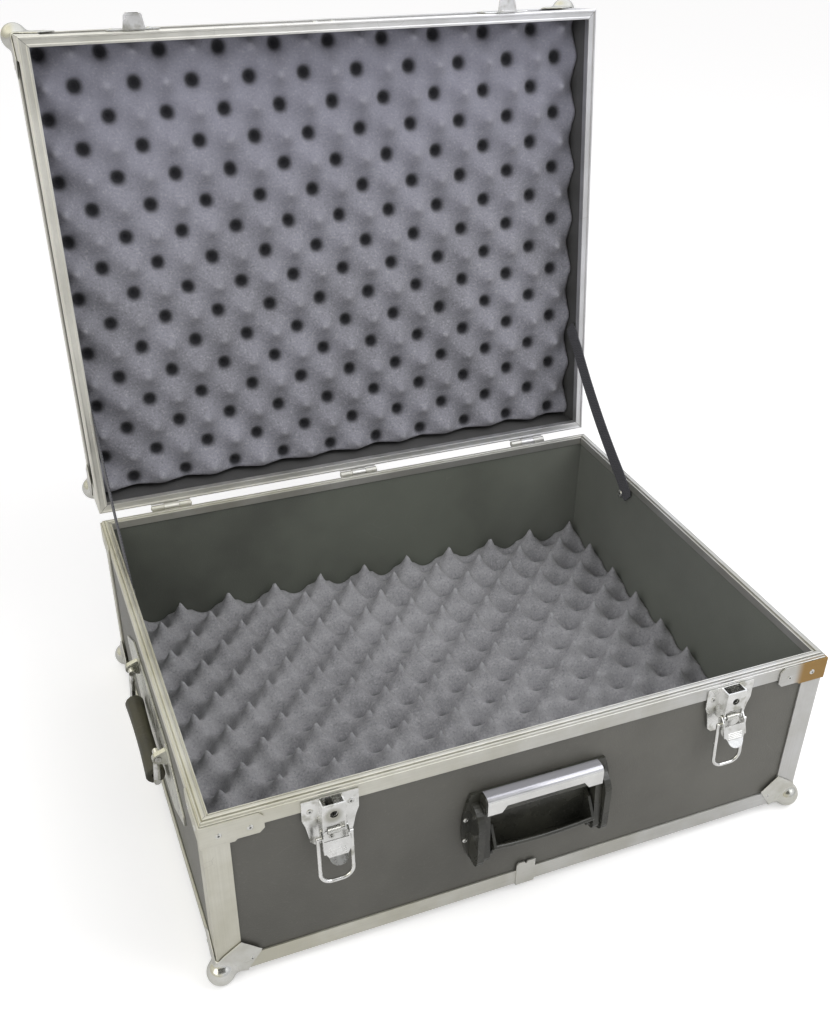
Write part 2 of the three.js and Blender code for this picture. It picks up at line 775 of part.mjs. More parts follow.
// Lever, drawn hanging straight down from its pivot at the origin, its skin on the outer side.
function latchLever() {
  const skinOut = LEVER_SKIN_IN + LEVER_THICK;
  const kickAt = LEVER_LENGTH - LEVER_NOSE;
  const skin = outOf([
    [LEVER_SKIN_IN, -LEVER_SKIN_START],
    [skinOut, -LEVER_SKIN_START],
    [skinOut, -kickAt],
    [skinOut + LEVER_KICK, -LEVER_LENGTH],
    [skinOut + LEVER_KICK - LEVER_THICK, -LEVER_LENGTH],
    [LEVER_SKIN_IN, -kickAt],
  ]);
  const nose = LEVER_HALF_WIDTH - LEVER_NOSE / 2;
  const front = [
    [-LEVER_HALF_WIDTH, 0],
    [-LEVER_HALF_WIDTH, -LEVER_SHOULDER_AT],
    ...arc([-nose + LEVER_NOSE, -LEVER_LENGTH + LEVER_NOSE], LEVER_NOSE, 180, 270, CORNER_STEPS),
    ...arc([nose - LEVER_NOSE, -LEVER_LENGTH + LEVER_NOSE], LEVER_NOSE, 270, 360, CORNER_STEPS),
    [LEVER_HALF_WIDTH, -LEVER_SHOULDER_AT],
    [LEVER_HALF_WIDTH, 0],
  ];
  const deep = skinOut + LEVER_KICK + OVERRUN;
  const tongue = prismX(skin, -LEVER_HALF_WIDTH, LEVER_HALF_WIDTH).intersect(
    prismY(front, -deep, deep),
  );
  const cheekOutline = outOf([
    ...arc([0, 0], LEVER_CHEEK_DEPTH, 45, 180, SMALL_STEPS / 2),
    [-LEVER_CHEEK_DEPTH, -LEVER_CHEEK_LENGTH / 2],
    [LEVER_SKIN_IN, -LEVER_CHEEK_LENGTH],
    [skinOut, -LEVER_CHEEK_LENGTH],
    [skinOut, -LEVER_SKIN_START / 2],
  ]);
  const inner = LEVER_HALF_WIDTH - LEVER_THICK;
  const cheeks = [
    prismX(cheekOutline, -LEVER_HALF_WIDTH, -inner),
    prismX(cheekOutline, inner, LEVER_HALF_WIDTH),
  ];
  const ribs = Array.from({ length: LEVER_RIBS }, (_, i) => {
    const at = -kickAt + LEVER_RIB_PITCH * (LEVER_RIBS - 1 - i) + LEVER_RIB_SIZE;
    const half = LEVER_RIB_WIDTH / 2;
    return block(
      [-half, -skinOut - LEVER_RIB_SIZE / 2, at],
      [half, -skinOut + LEVER_RIB_SIZE / 2, at + LEVER_RIB_SIZE],
    );
  });
  const through = LEVER_HALF_WIDTH + OVERRUN;
  const bore = (radius, z) =>
    rod(radius + FIT, [-through, 0, z], [through, 0, z], SMALL_STEPS);
  return cut(
    join(tongue, ...cheeks, ...ribs),
    bore(PIN_RADIUS, 0),
    bore(BAIL_WIRE / 2, -BAIL_PIVOT_DOWN),
  );
}

// A round wire bent in the XZ plane along a line of [x, z] points, mitred at each of them
function bentWire(points, radius, sides) {
  const line = points.map(([x, z]) => new THREE.Vector2(x, z));
  const last = line.length - 1;
  const place = [];
  line.forEach((point, i) => {
    const before = line[Math.max(i, 1)].clone().sub(line[Math.max(i, 1) - 1]).normalize();
    const after = line[Math.min(i, last - 1) + 1].clone().sub(line[Math.min(i, last - 1)]).normalize();
    const run = before.clone().add(after).normalize();
    const reach = radius / run.dot(after);
    for (let k = 0; k < sides; k += 1) {
      const angle = (2 * Math.PI * (k + 1 / 2)) / sides;
      const across = Math.cos(angle) * reach;
      place.push(point.x - run.y * across, Math.sin(angle) * radius, point.y + run.x * across);
    }
  });
  const faces = [];
  for (let i = 0; i < last; i += 1) {
    for (let k = 0; k < sides; k += 1) {
      const a = i * sides + k;
      const b = i * sides + ((k + 1) % sides);
      faces.push(a, b, b + sides, a, b + sides, a + sides);
    }
  }
  for (let k = 1; k + 1 < sides; k += 1) {
    faces.push(0, k + 1, k, last * sides, last * sides + k, last * sides + k + 1);
  }
  const wire = new THREE.BufferGeometry();
  wire.setAttribute("position", new THREE.Float32BufferAttribute(place, 3));
  return solid(wire.setIndex(faces));
}

// Bail: a wire loop drawn hanging from its eyes at the origin, its ends turned into the lever's cheeks
function latchBail() {
  const span = BAIL_HALF_SPAN;
  const end = LEVER_HALF_WIDTH - LEVER_THICK;
  const turn = -BAIL_LENGTH + BAIL_BEND;
  const points = [
    [-end, 0],
    [-span, 0],
    ...arc([-span + BAIL_BEND, turn], BAIL_BEND, 180, 270, BAIL_BEND_STEPS),
    ...arc([span - BAIL_BEND, turn], BAIL_BEND, 270, 360, BAIL_BEND_STEPS),
    [span, 0],
    [end, 0],
  ];
  return bentWire(points, BAIL_WIRE / 2, WIRE_SIDES);
}

// Both latches, each a lever in a plate and a bail in the lever
function latches() {
  const group = new THREE.Group();
  const plate = latchPlate();
  const lever = latchLever();
  const bail = latchBail();
  latchPlaces.forEach((x, i) => {
    const latch = new THREE.Group();
    latch.position.set(x, -halfDepth, 0);
    latch.add(piece(`latch_plate_${LATCH_NAMES[i]}`, plate, chrome()));
    const swing = new THREE.Group();
    swing.position.set(0, -LATCH_PIVOT_OUT, latchPivotZ);
    swing.rotation.x = -radians(LEVER_REST_DEGREES);
    swing.add(piece(`latch_lever_${LATCH_NAMES[i]}`, lever, chrome()));
    const hang = new THREE.Group();
    hang.position.set(0, 0, -BAIL_PIVOT_DOWN);
    hang.rotation.x = radians(LEVER_REST_DEGREES - BAIL_REST_DEGREES);
    hang.add(piece(`latch_bail_${LATCH_NAMES[i]}`, bail, chrome()));
    swing.add(hang);
    latch.add(swing);
    group.add(latch);
  });
  return group;
}

// Front handle: local X across, -Y out of the front panel, Z up from the trim's foot.
function frontHandleBase() {
  const half = HANDLE_PLATE_WIDTH / 2;
  const bulge = (HANDLE_PLATE_WIDTH - HANDLE_PLATE_END) / 2;
  const tall = (HANDLE_PLATE_TOP - HANDLE_PLATE_BOTTOM) / 2;
  const bow = (tall ** 2 + bulge ** 2) / (2 * bulge);
  const turn = THREE.MathUtils.radToDeg(Math.asin(tall / bow));
  const middle = HANDLE_PLATE_BOTTOM + tall;
  const seat = -panelFace + FIT;
  const front = seat + HANDLE_PLATE_THICK;
  const plate = prismY(
    [
      ...arc([half - bow, middle], bow, -turn, turn, ROUND_STEPS / 2),
      ...arc([bow - half, middle], bow, 180 - turn, 180 + turn, ROUND_STEPS / 2),
    ],
    -front,
    -seat,
  );
  const under = front - FIT;
  const reach = HANDLE_PIVOT_OUT + HANDLE_EAR_ROUND - under;
  const pivot = [HANDLE_PIVOT_OUT, HANDLE_PIVOT_UP];
  const ear = outOf([
    [under, HANDLE_PIVOT_UP - HANDLE_EAR_ROUND],
    ...arc(pivot, HANDLE_EAR_ROUND, -90, 0, CORNER_STEPS),
    ...arc([under, HANDLE_EAR_TOP - reach], reach, 0, 90, CORNER_STEPS * 2),
  ]);
  const outer = HANDLE_EAR_INNER + HANDLE_EAR_THICK;
  const ears = [
    prismX(ear, -outer, -HANDLE_EAR_INNER),
    prismX(ear, HANDLE_EAR_INNER, outer),
  ];
  const wall = HANDLE_SCOOP_WALL;
  const lip = HANDLE_SCOOP_LIP;
  const foot = HANDLE_PLATE_BOTTOM + HANDLE_SCOOP_SAG + wall / 2;
  const lipOut = HANDLE_SCOOP_OUT - lip;
  const lipUp = HANDLE_SCOOP_TOP - lip;
  const scoop = outOf([
    [under, foot],
    ...arc([lipOut, lipUp], lip, -60, 210, SMALL_STEPS),
    [under, foot + wall * Math.SQRT2],
  ]);
  const ends = HANDLE_SCOOP_HALF;
  const sag = (x) => HANDLE_SCOOP_SAG * ((x / ends) ** 2 - 1);
  const step = (2 * ends) / HANDLE_SCOOP_STEPS;
  const lengths = Array.from({ length: HANDLE_SCOOP_STEPS }, (_, i) =>
    prismX(scoop, step * i - ends, step * (i + 1) - ends, sag),
  );
  const scoopEnd = outOf([
    [under, foot],
    ...arc([lipOut, lipUp], lip, -60, 60, CORNER_STEPS),
    [lipOut / 2, HANDLE_SCOOP_TOP + HANDLE_SCOOP_RISE - wall],
    [under, HANDLE_SCOOP_TOP + HANDLE_SCOOP_RISE],
  ]);
  const rims = [-1, 1].map((side) => {
    const a = side * ends;
    const b = side * (ends - wall);
    return prismX(scoopEnd, Math.min(a, b), Math.max(a, b));
  });
  const pins = [-1, 1].map((side) =>
    rod(
      HANDLE_PIN_RADIUS,
      [side * outer, -HANDLE_PIVOT_OUT, HANDLE_PIVOT_UP],
      [side * (ends - wall), -HANDLE_PIVOT_OUT, HANDLE_PIVOT_UP],
      SMALL_STEPS,
    ),
  );
  return join(plate, ...ears, ...lengths, ...rims, ...pins);
}

// Grip: two arms on the pins and a rounded bar between them
function frontHandleGrip() {
  const outline = outOf(
    roundedRectangle(
      HANDLE_GRIP_BACK,
      HANDLE_GRIP_BOTTOM,
      HANDLE_GRIP_FRONT,
      HANDLE_GRIP_TOP,
      HANDLE_GRIP_ROUND,
    ),
  );
  const bar = prismX(outline, -HANDLE_GRIP_HALF, HANDLE_GRIP_HALF);
  const pivot = [HANDLE_PIVOT_OUT, HANDLE_PIVOT_UP];
  const armFront = HANDLE_GRIP_FRONT - HANDLE_GRIP_ROUND / 2;
  const arm = outOf([
    ...arc(pivot, HANDLE_ARM_RADIUS, 180, 360, CORNER_STEPS * 2),
    [armFront, HANDLE_GRIP_BOTTOM],
    [armFront, HANDLE_GRIP_UP],
    [HANDLE_GRIP_BACK + HANDLE_GRIP_ROUND / 2, HANDLE_GRIP_UP],
    [HANDLE_GRIP_BACK + HANDLE_GRIP_ROUND / 2, HANDLE_GRIP_BOTTOM],
  ]);
  const outer = HANDLE_EAR_INNER - PIVOT_PLAY;
  const arms = [-1, 1].map((side) => {
    const a = side * outer;
    const b = side * (outer - HANDLE_ARM_WIDTH);
    const body = prismX(arm, Math.min(a, b), Math.max(a, b));
    const bore = rod(
      HANDLE_PIN_RADIUS + FIT,
      [side * (outer + OVERRUN), -HANDLE_PIVOT_OUT, HANDLE_PIVOT_UP],
      [side * (outer - HANDLE_ARM_WIDTH - OVERRUN), -HANDLE_PIVOT_OUT, HANDLE_PIVOT_UP],
      SMALL_STEPS,
    );
    return cut(body, bore);
  });
  return join(bar, ...arms);
}

// Bright cover over the grip's upper and front faces, with slanted steps to ends that reach further down
function frontHandleCover() {
  const round = HANDLE_GRIP_ROUND;
  const shell = (offset) => [
    ...arc(
      [HANDLE_GRIP_BACK + round, HANDLE_GRIP_TOP - round],
      round + offset,
      140,
      90,
      COVER_STEPS / 2,
    ),
    ...arc([HANDLE_GRIP_FRONT - round, HANDLE_GRIP_TOP - round], round + offset, 90, 0, COVER_STEPS),
    [HANDLE_GRIP_FRONT + offset, COVER_END_FOOT],
  ];
  const sheet = prismX(
    outOf([...shell(FIT + COVER_THICK), ...shell(FIT).reverse()]),
    -COVER_HALF,
    COVER_HALF,
  );
  const inner = COVER_HALF - COVER_END_WIDTH;
  const notch = [
    [-inner, COVER_END_FOOT - OVERRUN],
    [inner, COVER_END_FOOT - OVERRUN],
    [inner, COVER_END_FOOT],
    [inner - COVER_SLANT, COVER_FACE_FOOT],
    [COVER_SLANT - inner, COVER_FACE_FOOT],
    [-inner, COVER_END_FOOT],
  ];
  return cut(sheet, prismY(notch, -HANDLE_GRIP_FRONT - OVERRUN, -HANDLE_GRIP_FRONT + OVERRUN));
}

function frontHandle() {
  const group = new THREE.Group();
  group.position.set(0, -halfDepth, 0);
  group.add(piece("front_handle_base", frontHandleBase(), blackPlastic()));
  group.add(piece("front_handle_grip", frontHandleGrip(), blackPlastic()));
  group.add(piece("front_handle_cover", frontHandleCover(), chrome()));
  return group;
}

// Side handle, drawn on the right side: local Y along the side, +X out of it, Z up from the trim's foot.
function sideHandlePlate() {
  const seat = -panelFace + FIT;
  const front = seat + SIDE_PLATE_THICK;
  const long = SIDE_PLATE_LENGTH / 2;
  const flat = SIDE_PLATE_FLAT / 2;
  const tall = SIDE_PLATE_TALL / 2;
  const end = SIDE_PLATE_END / 2;
  const outline = [
    [long, -end],
    [long, end],
    [flat, tall],
    [-flat, tall],
    [-long, end],
    [-long, -end],
    [-flat, -tall],
    [flat, -tall],
  ].map(([y, z]) => [y, z + SIDE_PLATE_UP]);
  const plate = prismX(outline, seat, front);
  const lugs = [-1, 1].map((side) => {
    const near = side * (SIDE_LUG_AT - SIDE_LUG_WIDTH / 2);
    const far = side * (SIDE_LUG_AT + SIDE_LUG_WIDTH / 2);
    const profile = [
      [front - FIT, SIDE_PIVOT_UP - SIDE_LUG_RADIUS * 1.6],
      ...arc([SIDE_PIVOT_OUT, SIDE_PIVOT_UP], SIDE_LUG_RADIUS, -60, 60, CORNER_STEPS * 2),
      [front - FIT, SIDE_PIVOT_UP + SIDE_LUG_RADIUS * 1.6],
    ];
    return prismY(profile, Math.min(near, far), Math.max(near, far));
  });
  const bore = rod(
    SIDE_ROD_RADIUS + FIT,
    [SIDE_PIVOT_OUT, -SIDE_LUG_AT - OVERRUN, SIDE_PIVOT_UP],
    [SIDE_PIVOT_OUT, SIDE_LUG_AT + OVERRUN, SIDE_PIVOT_UP],
    SMALL_STEPS,
  );
  return cut(join(plate, ...lugs), bore);
}

// Steel bail: stub ends in the lugs, two arms and the core that the grip is moulded on
function sideHandleBail() {
  const end = SIDE_LUG_AT + SIDE_LUG_WIDTH / 2 + FIT;
  const r = SIDE_ROD_RADIUS;
  const turned = [-1, 1].map((side) =>
    join(
      rod(r, [SIDE_PIVOT_OUT, side * end, SIDE_PIVOT_UP],
        [SIDE_PIVOT_OUT, side * (SIDE_ARM_AT - r), SIDE_PIVOT_UP], SMALL_STEPS),
      rod(r, [SIDE_PIVOT_OUT, side * SIDE_ARM_AT, SIDE_PIVOT_UP],
        [SIDE_GRIP_OUT, side * SIDE_ARM_AT, SIDE_GRIP_UP], SMALL_STEPS),
    ),
  );
  const core = rod(
    r,
    [SIDE_GRIP_OUT, -SIDE_ARM_AT - r, SIDE_GRIP_UP],
    [SIDE_GRIP_OUT, SIDE_ARM_AT + r, SIDE_GRIP_UP],
    SMALL_STEPS,
  );
  return join(...turned, core);
}

// Rubber grip: a sleeve on the bail's core, a little waisted
function sideHandleGrip() {
  const half = SIDE_GRIP_HALF;
  const profile = [new THREE.Vector2(SIDE_ROD_RADIUS + FIT, -half)];
  for (let i = 0; i <= SIDE_GRIP_RINGS; i += 1) {
    const share = (2 * i) / SIDE_GRIP_RINGS - 1;
    const radius = SIDE_GRIP_RADIUS * (SIDE_GRIP_WAIST + (1 - SIDE_GRIP_WAIST) * share * share);
    profile.push(new THREE.Vector2(radius, half * share));
  }
  profile.push(new THREE.Vector2(SIDE_ROD_RADIUS + FIT, half));
  profile.push(profile[0].clone());
  const sleeve = new THREE.LatheGeometry(profile, SIDE_GRIP_SIDES);
  return solid(sleeve.translate(SIDE_GRIP_OUT, 0, SIDE_GRIP_UP));
}

function sideHandles() {
  const group = new THREE.Group();
  const plate = sideHandlePlate();
  const bail = sideHandleBail();
  const grip = sideHandleGrip();
  [["left", -1], ["right", 1]].forEach(([name, side]) => {
    const handle = new THREE.Group();
    handle.position.set(side * halfWidth, 0, 0);
    handle.scale.set(side, 1, 1);
    handle.add(piece(`side_handle_plate_${name}`, plate, chrome()));
    handle.add(piece(`side_handle_bail_${name}`, bail, chrome()));
    handle.add(piece(`side_handle_grip_${name}`, grip, blackPlastic()));
    group.add(handle);
  });
  return group;
}

// Lid catch: a plate with a hook that the bail lies in. Local -Y out of the front, Z up from the rim's plane.
function lidCatch() {
  const half = CATCH_WIDTH / 2;
  const front = FIT + CATCH_THICK;
  const low = CATCH_RISE;
  const plate = prismY(
    [
      [-half, low],
      [half, low],
      [half, low + CATCH_TALL - CATCH_CUT],
      [half - CATCH_CUT, low + CATCH_TALL],
      [-half + CATCH_CUT, low + CATCH_TALL],
      [-half, low + CATCH_TALL - CATCH_CUT],
    ],
    -front,
    -FIT,
  );
  const wire = BAIL_WIRE / 2;
  const reach = BAIL_LATCHED_OUT + wire + FIT;
  const wireZ = latchPivotZ - BAIL_PIVOT_DOWN + BAIL_LENGTH - BASE_HEIGHT - CLOSED_GAP;
  const shelf = wireZ - wire - FIT;
  const hook = outOf([
    [front - FIT, shelf - CATCH_HOOK_THICK],
    [reach + CATCH_HOOK_THICK, shelf - CATCH_HOOK_THICK],
    [reach + CATCH_HOOK_THICK, shelf + CATCH_LIP],
    [reach, shelf + CATCH_LIP],
    [reach, shelf],
    [front - FIT, shelf],
  ]);
  const wide = CATCH_HOOK_WIDTH / 2;
  return join(plate, prismX(hook, -wide, wide));
}

// Webbing stay, drawn on the right side: straight from the base's wall to the open lid's.
function stayStrap() {
  const hinge = new THREE.Vector2(hingeAxisY, hingeAxisZ);
  const onBase = new THREE.Vector2(halfDepth - STRAP_BASE_FROM_BACK, BASE_HEIGHT);
  const onLid = new THREE.Vector2(
    halfDepth - STRAP_LID_FROM_BACK,
    BASE_HEIGHT + CLOSED_GAP,
  ).rotateAround(hinge, -radians(OPEN_DEGREES));
  const along = onLid.clone().sub(onBase).normalize();
  const side = new THREE.Vector2(-along.y, along.x);
  const start = onBase.clone().addScaledVector(along, -STRAP_HELD);
  const end = onLid.clone().addScaledVector(along, STRAP_HELD);
  const at = (from, run, across) =>
    from.clone().addScaledVector(along, run).addScaledVector(side, across).toArray();
  const half = STRAP_WIDTH / 2;
  const outline = [
    at(start, 0, half - STRAP_CUT),
    at(start, 0, STRAP_CUT - half),
    at(start, STRAP_CUT, -half),
    at(end, -STRAP_CUT, -half),
    at(end, 0, STRAP_CUT - half),
    at(end, 0, half - STRAP_CUT),
    at(end, -STRAP_CUT, half),
    at(start, STRAP_CUT, half),
  ];
  const outer = halfWidth - rimWidth - FIT;
  const inner = outer - STRAP_THICK;
  const rivets = [at(start, STRAP_RIVET_IN, 0), at(end, -STRAP_RIVET_IN, 0)].map(([y, z]) =>
    rod(
      STRAP_RIVET_RADIUS,
      [inner - STRAP_RIVET_HEAD, y, z],
      [halfWidth - panelBack - FIT, y, z],
      SMALL_STEPS,
    ),
  );
  return join(prismX(outline, inner, outer), ...rivets);
}

// The base, standing with its bottom trim at Z0
const base = new THREE.Group();
base.add(panels("base", "base_floor_panel", wallTop));
base.add(baseRim());
base.add(
  onEachCorner(
    "base_corner_angle",
    cornerAngle(BOTTOM_LEG + FIT, BASE_HEIGHT - RIM_LEG - FIT),
    aluminium,
  ),
);
base.add(bottomTrim());
base.add(onEachCorner("base_corner_bracket", cornerBracket(), aluminium));
base.add(onEachCorner("base_ball_corner", ballCorner(), chrome));
base.add(latches());
base.add(frontHandle());
base.add(sideHandles());
const baseFoam = piece(
  "base_foam",
  eggCrate(BASE_FOAM_THICK, BASE_FOAM_GAP, BASE_FOAM_PEAK_X, BASE_FOAM_PEAK_Y),
  foam(),
);
baseFoam.position.z = panelBack + FIT;
base.add(baseFoam);

// The lid's shell, drawn with its top board at Z0 and turned over onto the plane of its rim
const lidShell = new THREE.Group();
lidShell.add(panels("lid", "lid_top_panel", LID_HEIGHT - RIM_WEB - FIT));
lidShell.add(lidRim());
lidShell.add(lidEdgeTrim());
lidShell.add(onEachCorner("lid_ball_corner", ballCorner(), chrome));
const lidFoam = piece(
  "lid_foam",
  eggCrate(LID_FOAM_THICK, LID_FOAM_GAP, LID_FOAM_PEAK_X, LID_FOAM_PEAK_Y),
  foam(),
);
lidFoam.position.z = panelBack + FIT;
lidShell.add(lidFoam);
lidShell.scale.z = -1;
lidShell.position.set(0, -hingeAxisY, BASE_HEIGHT + CLOSED_GAP + LID_HEIGHT - hingeAxisZ);

// The lid on its hinges, swung open about their pins
const lid = new THREE.Group();
lid.add(lidShell);
lid.position.set(0, hingeAxisY, hingeAxisZ);
lid.rotation.x = -radians(OPEN_DEGREES);
const catchBody = lidCatch();
latchPlaces.forEach((x, i) => {
  const mesh = piece(`lid_catch_${LATCH_NAMES[i]}`, catchBody, chrome());
  mesh.position.set(x, -halfDepth - hingeAxisY, BASE_HEIGHT + CLOSED_GAP - hingeAxisZ);
  lid.add(mesh);
});
const baseLeaf = hingeLeaf(true);
const lidLeaf = hingeLeaf(false);
hingePlaces.forEach((x, i) => {
  const fixed = piece(`hinge_base_leaf_${HINGE_NAMES[i]}`, baseLeaf, aluminium());
  fixed.position.set(x, hingeAxisY, hingeAxisZ);
  base.add(fixed);
  const swinging = piece(`hinge_lid_leaf_${HINGE_NAMES[i]}`, lidLeaf, aluminium());
  swinging.position.x = x;
  lid.add(swinging);
});

// The stays, one against each side wall
const strapBody = stayStrap();
const stays = new THREE.Group();
[["left", -1], ["right", 1]].forEach(([name, side]) => {
  const strap = piece(`stay_strap_${name}`, strapBody, webbing());
  strap.scale.x = side;
  stays.add(strap);
});

// The whole case, standing on its ball corners, centred over the ground
const standing = new THREE.Group();
standing.add(base, lid, stays);
const bounds = new THREE.Box3().setFromObject(standing, true);
const middle = bounds.getCenter(new THREE.Vector3());
standing.position.set(-middle.x, -middle.y, -bounds.min.z);
const group = new THREE.Group();
group.add(standing);

export default group;
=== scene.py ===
import math
import bmesh
import bpy
import numpy as np
from mathutils import Matrix, Vector


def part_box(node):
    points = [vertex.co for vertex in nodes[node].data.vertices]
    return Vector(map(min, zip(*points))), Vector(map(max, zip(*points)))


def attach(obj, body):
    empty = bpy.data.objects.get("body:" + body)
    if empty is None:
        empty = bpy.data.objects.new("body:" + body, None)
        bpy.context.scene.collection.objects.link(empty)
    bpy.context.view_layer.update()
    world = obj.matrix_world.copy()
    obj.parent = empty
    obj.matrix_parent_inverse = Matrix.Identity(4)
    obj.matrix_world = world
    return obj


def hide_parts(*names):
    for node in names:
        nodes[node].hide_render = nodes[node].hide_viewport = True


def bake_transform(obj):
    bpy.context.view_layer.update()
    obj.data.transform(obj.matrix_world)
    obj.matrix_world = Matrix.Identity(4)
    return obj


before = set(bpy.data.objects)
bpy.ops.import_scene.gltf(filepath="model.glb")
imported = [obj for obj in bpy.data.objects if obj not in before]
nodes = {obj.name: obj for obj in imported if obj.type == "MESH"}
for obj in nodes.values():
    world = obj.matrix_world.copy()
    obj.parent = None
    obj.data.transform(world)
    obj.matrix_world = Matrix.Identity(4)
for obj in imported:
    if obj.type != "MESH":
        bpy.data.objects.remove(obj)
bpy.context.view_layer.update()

# The camera: high in front of the case and left of its middle, looking down into it. It is fitted
# to the case's corners in the picture, and its place is written from the middle of the base's
# underside.
MM = 0.001
BASE_MIDDLE_Y = (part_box("base_rim")[0].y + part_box("base_rim")[1].y) / 2
STAND = 0.009
CAMERA_PLACE = Vector((-356.87 * MM, BASE_MIDDLE_Y - 830.96 * MM, STAND + 805.59 * MM))
CAMERA_RIGHT = Vector((0.925927, -0.377263, 0.018216))
CAMERA_DOWN = Vector((-0.195257, -0.519393, -0.831929))
CAMERA_AHEAD = Vector((0.323317, 0.766749, -0.554583))
FOCAL_PIXELS = 1155.11
FRAME_PIXELS = (830, 1024)
MIDDLE_PIXEL = (431.40, 558.10)
SENSOR = 36
FAR_AWAY = 100


def put(name, data):
    """An object of the scene with its data."""
    made = bpy.data.objects.new(name, data)
    bpy.context.scene.collection.objects.link(made)
    return made


camera_data = bpy.data.cameras.new("camera")
camera_data.sensor_fit = "AUTO"
camera_data.sensor_width = SENSOR
camera_data.lens = FOCAL_PIXELS * SENSOR / FRAME_PIXELS[1]
camera_data.shift_x = (FRAME_PIXELS[0] / 2 - MIDDLE_PIXEL[0]) / FRAME_PIXELS[1]
camera_data.shift_y = (MIDDLE_PIXEL[1] - FRAME_PIXELS[1] / 2) / FRAME_PIXELS[1]
camera_data.clip_end = FAR_AWAY
camera = put("camera", camera_data)
turn = Matrix((CAMERA_RIGHT, -CAMERA_DOWN, -CAMERA_AHEAD)).transposed()
camera.matrix_world = Matrix.Translation(CAMERA_PLACE) @ turn.to_4x4()
bpy.context.scene.camera = camera
bpy.context.scene.view_settings.view_transform = "Standard"


# The studio: a white sweep of paper under the case, one wide lamp high on the right and a weaker
# one on the left. For the bright metal to mirror, the room is warmer on the left and has a dark
# card above the camera.
def linear(code):
    """The linear colour of a colour written as it is seen, such as 5d5d57."""
    seen = [int(code[i:i + 2], 16) / 255 for i in (0, 2, 4)]
    return (*[v / 12.92 if v <= 0.04045 else ((v + 0.055) / 1.055) ** 2.4 for v in seen], 1)


def new_material(name):
    """An empty node material and its tree."""
    material = bpy.data.materials.new(name)
    material.use_nodes = True
    material.node_tree.nodes.clear()
    return material, material.node_tree


def plugged(tree, made, values):
    """A node whose inputs, by name or number, are linked to sockets or set to values."""
    for name, value in values.items():
        if isinstance(value, bpy.types.NodeSocket):
            tree.links.new(value, made.inputs[name])
        elif value is not None:
            made.inputs[name].default_value = value
    return made


def node(tree, kind, *inputs, **settings):
    """A node with its settings, and its first inputs in their order."""
    made = tree.nodes.new(kind)
    for name, value in settings.items():
        setattr(made, name, value)
    return plugged(tree, made, dict(enumerate(inputs)))


def number(tree, operation, *values):
    """The result of one sum on numbers."""
    return node(tree, "ShaderNodeMath", *values, operation=operation).outputs[0]


def vector(tree, operation, *values):
    """The result of one sum on vectors, which is a number for a product or a length."""
    made = node(tree, "ShaderNodeVectorMath", *values, operation=operation)
    return made.outputs["Value" if operation in ("DOT_PRODUCT", "LENGTH", "DISTANCE") else "Vector"]


def parts(tree, value):
    """The three numbers of a vector."""
    return node(tree, "ShaderNodeSeparateXYZ", value).outputs


def span(tree, value, low, high, start=0.0, end=1.0, smooth=True):
    """A value carried from one range to another, held at its ends."""
    way = "SMOOTHSTEP" if smooth else "LINEAR"
    return node(
        tree, "ShaderNodeMapRange", value, low, high, start, end, interpolation_type=way
    ).outputs[0]


def blended(tree, share, first, second, way="MIX"):
    """Two colours mixed by a share."""
    return node(tree, "ShaderNodeMixRGB", share, first, second, blend_type=way).outputs[0]


def sheet(name, material, corners):
    """An object of one flat face in its material."""
    mesh = bpy.data.meshes.new(name)
    mesh.from_pydata(corners, [], [(0, 1, 2, 3)])
    mesh.materials.append(material)
    return put(name, mesh)


FLOOR_HALF = 12
FLOOR_GLOW = 0.36
FLOOR_WHITE = (0.86, 0.86, 0.86, 1)
WHITE = (1, 1, 1, 1)
paper, tree = new_material("white paper")
matt = node(tree, "ShaderNodeBsdfDiffuse", FLOOR_WHITE)
seen = node(tree, "ShaderNodeLightPath").outputs
lift = number(tree, "MULTIPLY", seen["Is Camera Ray"], FLOOR_GLOW)
glow = node(tree, "ShaderNodeEmission", WHITE, lift)
both = node(tree, "ShaderNodeAddShader", matt.outputs[0], glow.outputs[0])
node(tree, "ShaderNodeOutputMaterial", both.outputs[0])
floor = sheet("floor", paper, [
    (-FLOOR_HALF, -FLOOR_HALF, 0),
    (FLOOR_HALF, -FLOOR_HALF, 0),
    (FLOOR_HALF, FLOOR_HALF, 0),
    (-FLOOR_HALF, FLOOR_HALF, 0),
])

CARD_LEFT, CARD_RIGHT = -1.5, 0.6
CARD_LOW, CARD_HIGH = 0.75, 2.1
CARD_Y = -1.7
dark, tree = new_material("dark card")
seen = node(tree, "ShaderNodeLightPath").outputs
clear = node(tree, "ShaderNodeBsdfTransparent").outputs[0]
shade = node(tree, "ShaderNodeEmission", linear("3a3a32"), 1.0).outputs[0]
choose = node(tree, "ShaderNodeMixShader", seen["Is Glossy Ray"], clear, shade)
node(tree, "ShaderNodeOutputMaterial", choose.outputs[0])
card = sheet("dark_card", dark, [
    (CARD_LEFT, CARD_Y, CARD_LOW),
    (CARD_RIGHT, CARD_Y, CARD_LOW),
    (CARD_RIGHT, CARD_Y, CARD_HIGH),
    (CARD_LEFT, CARD_Y, CARD_HIGH),
])

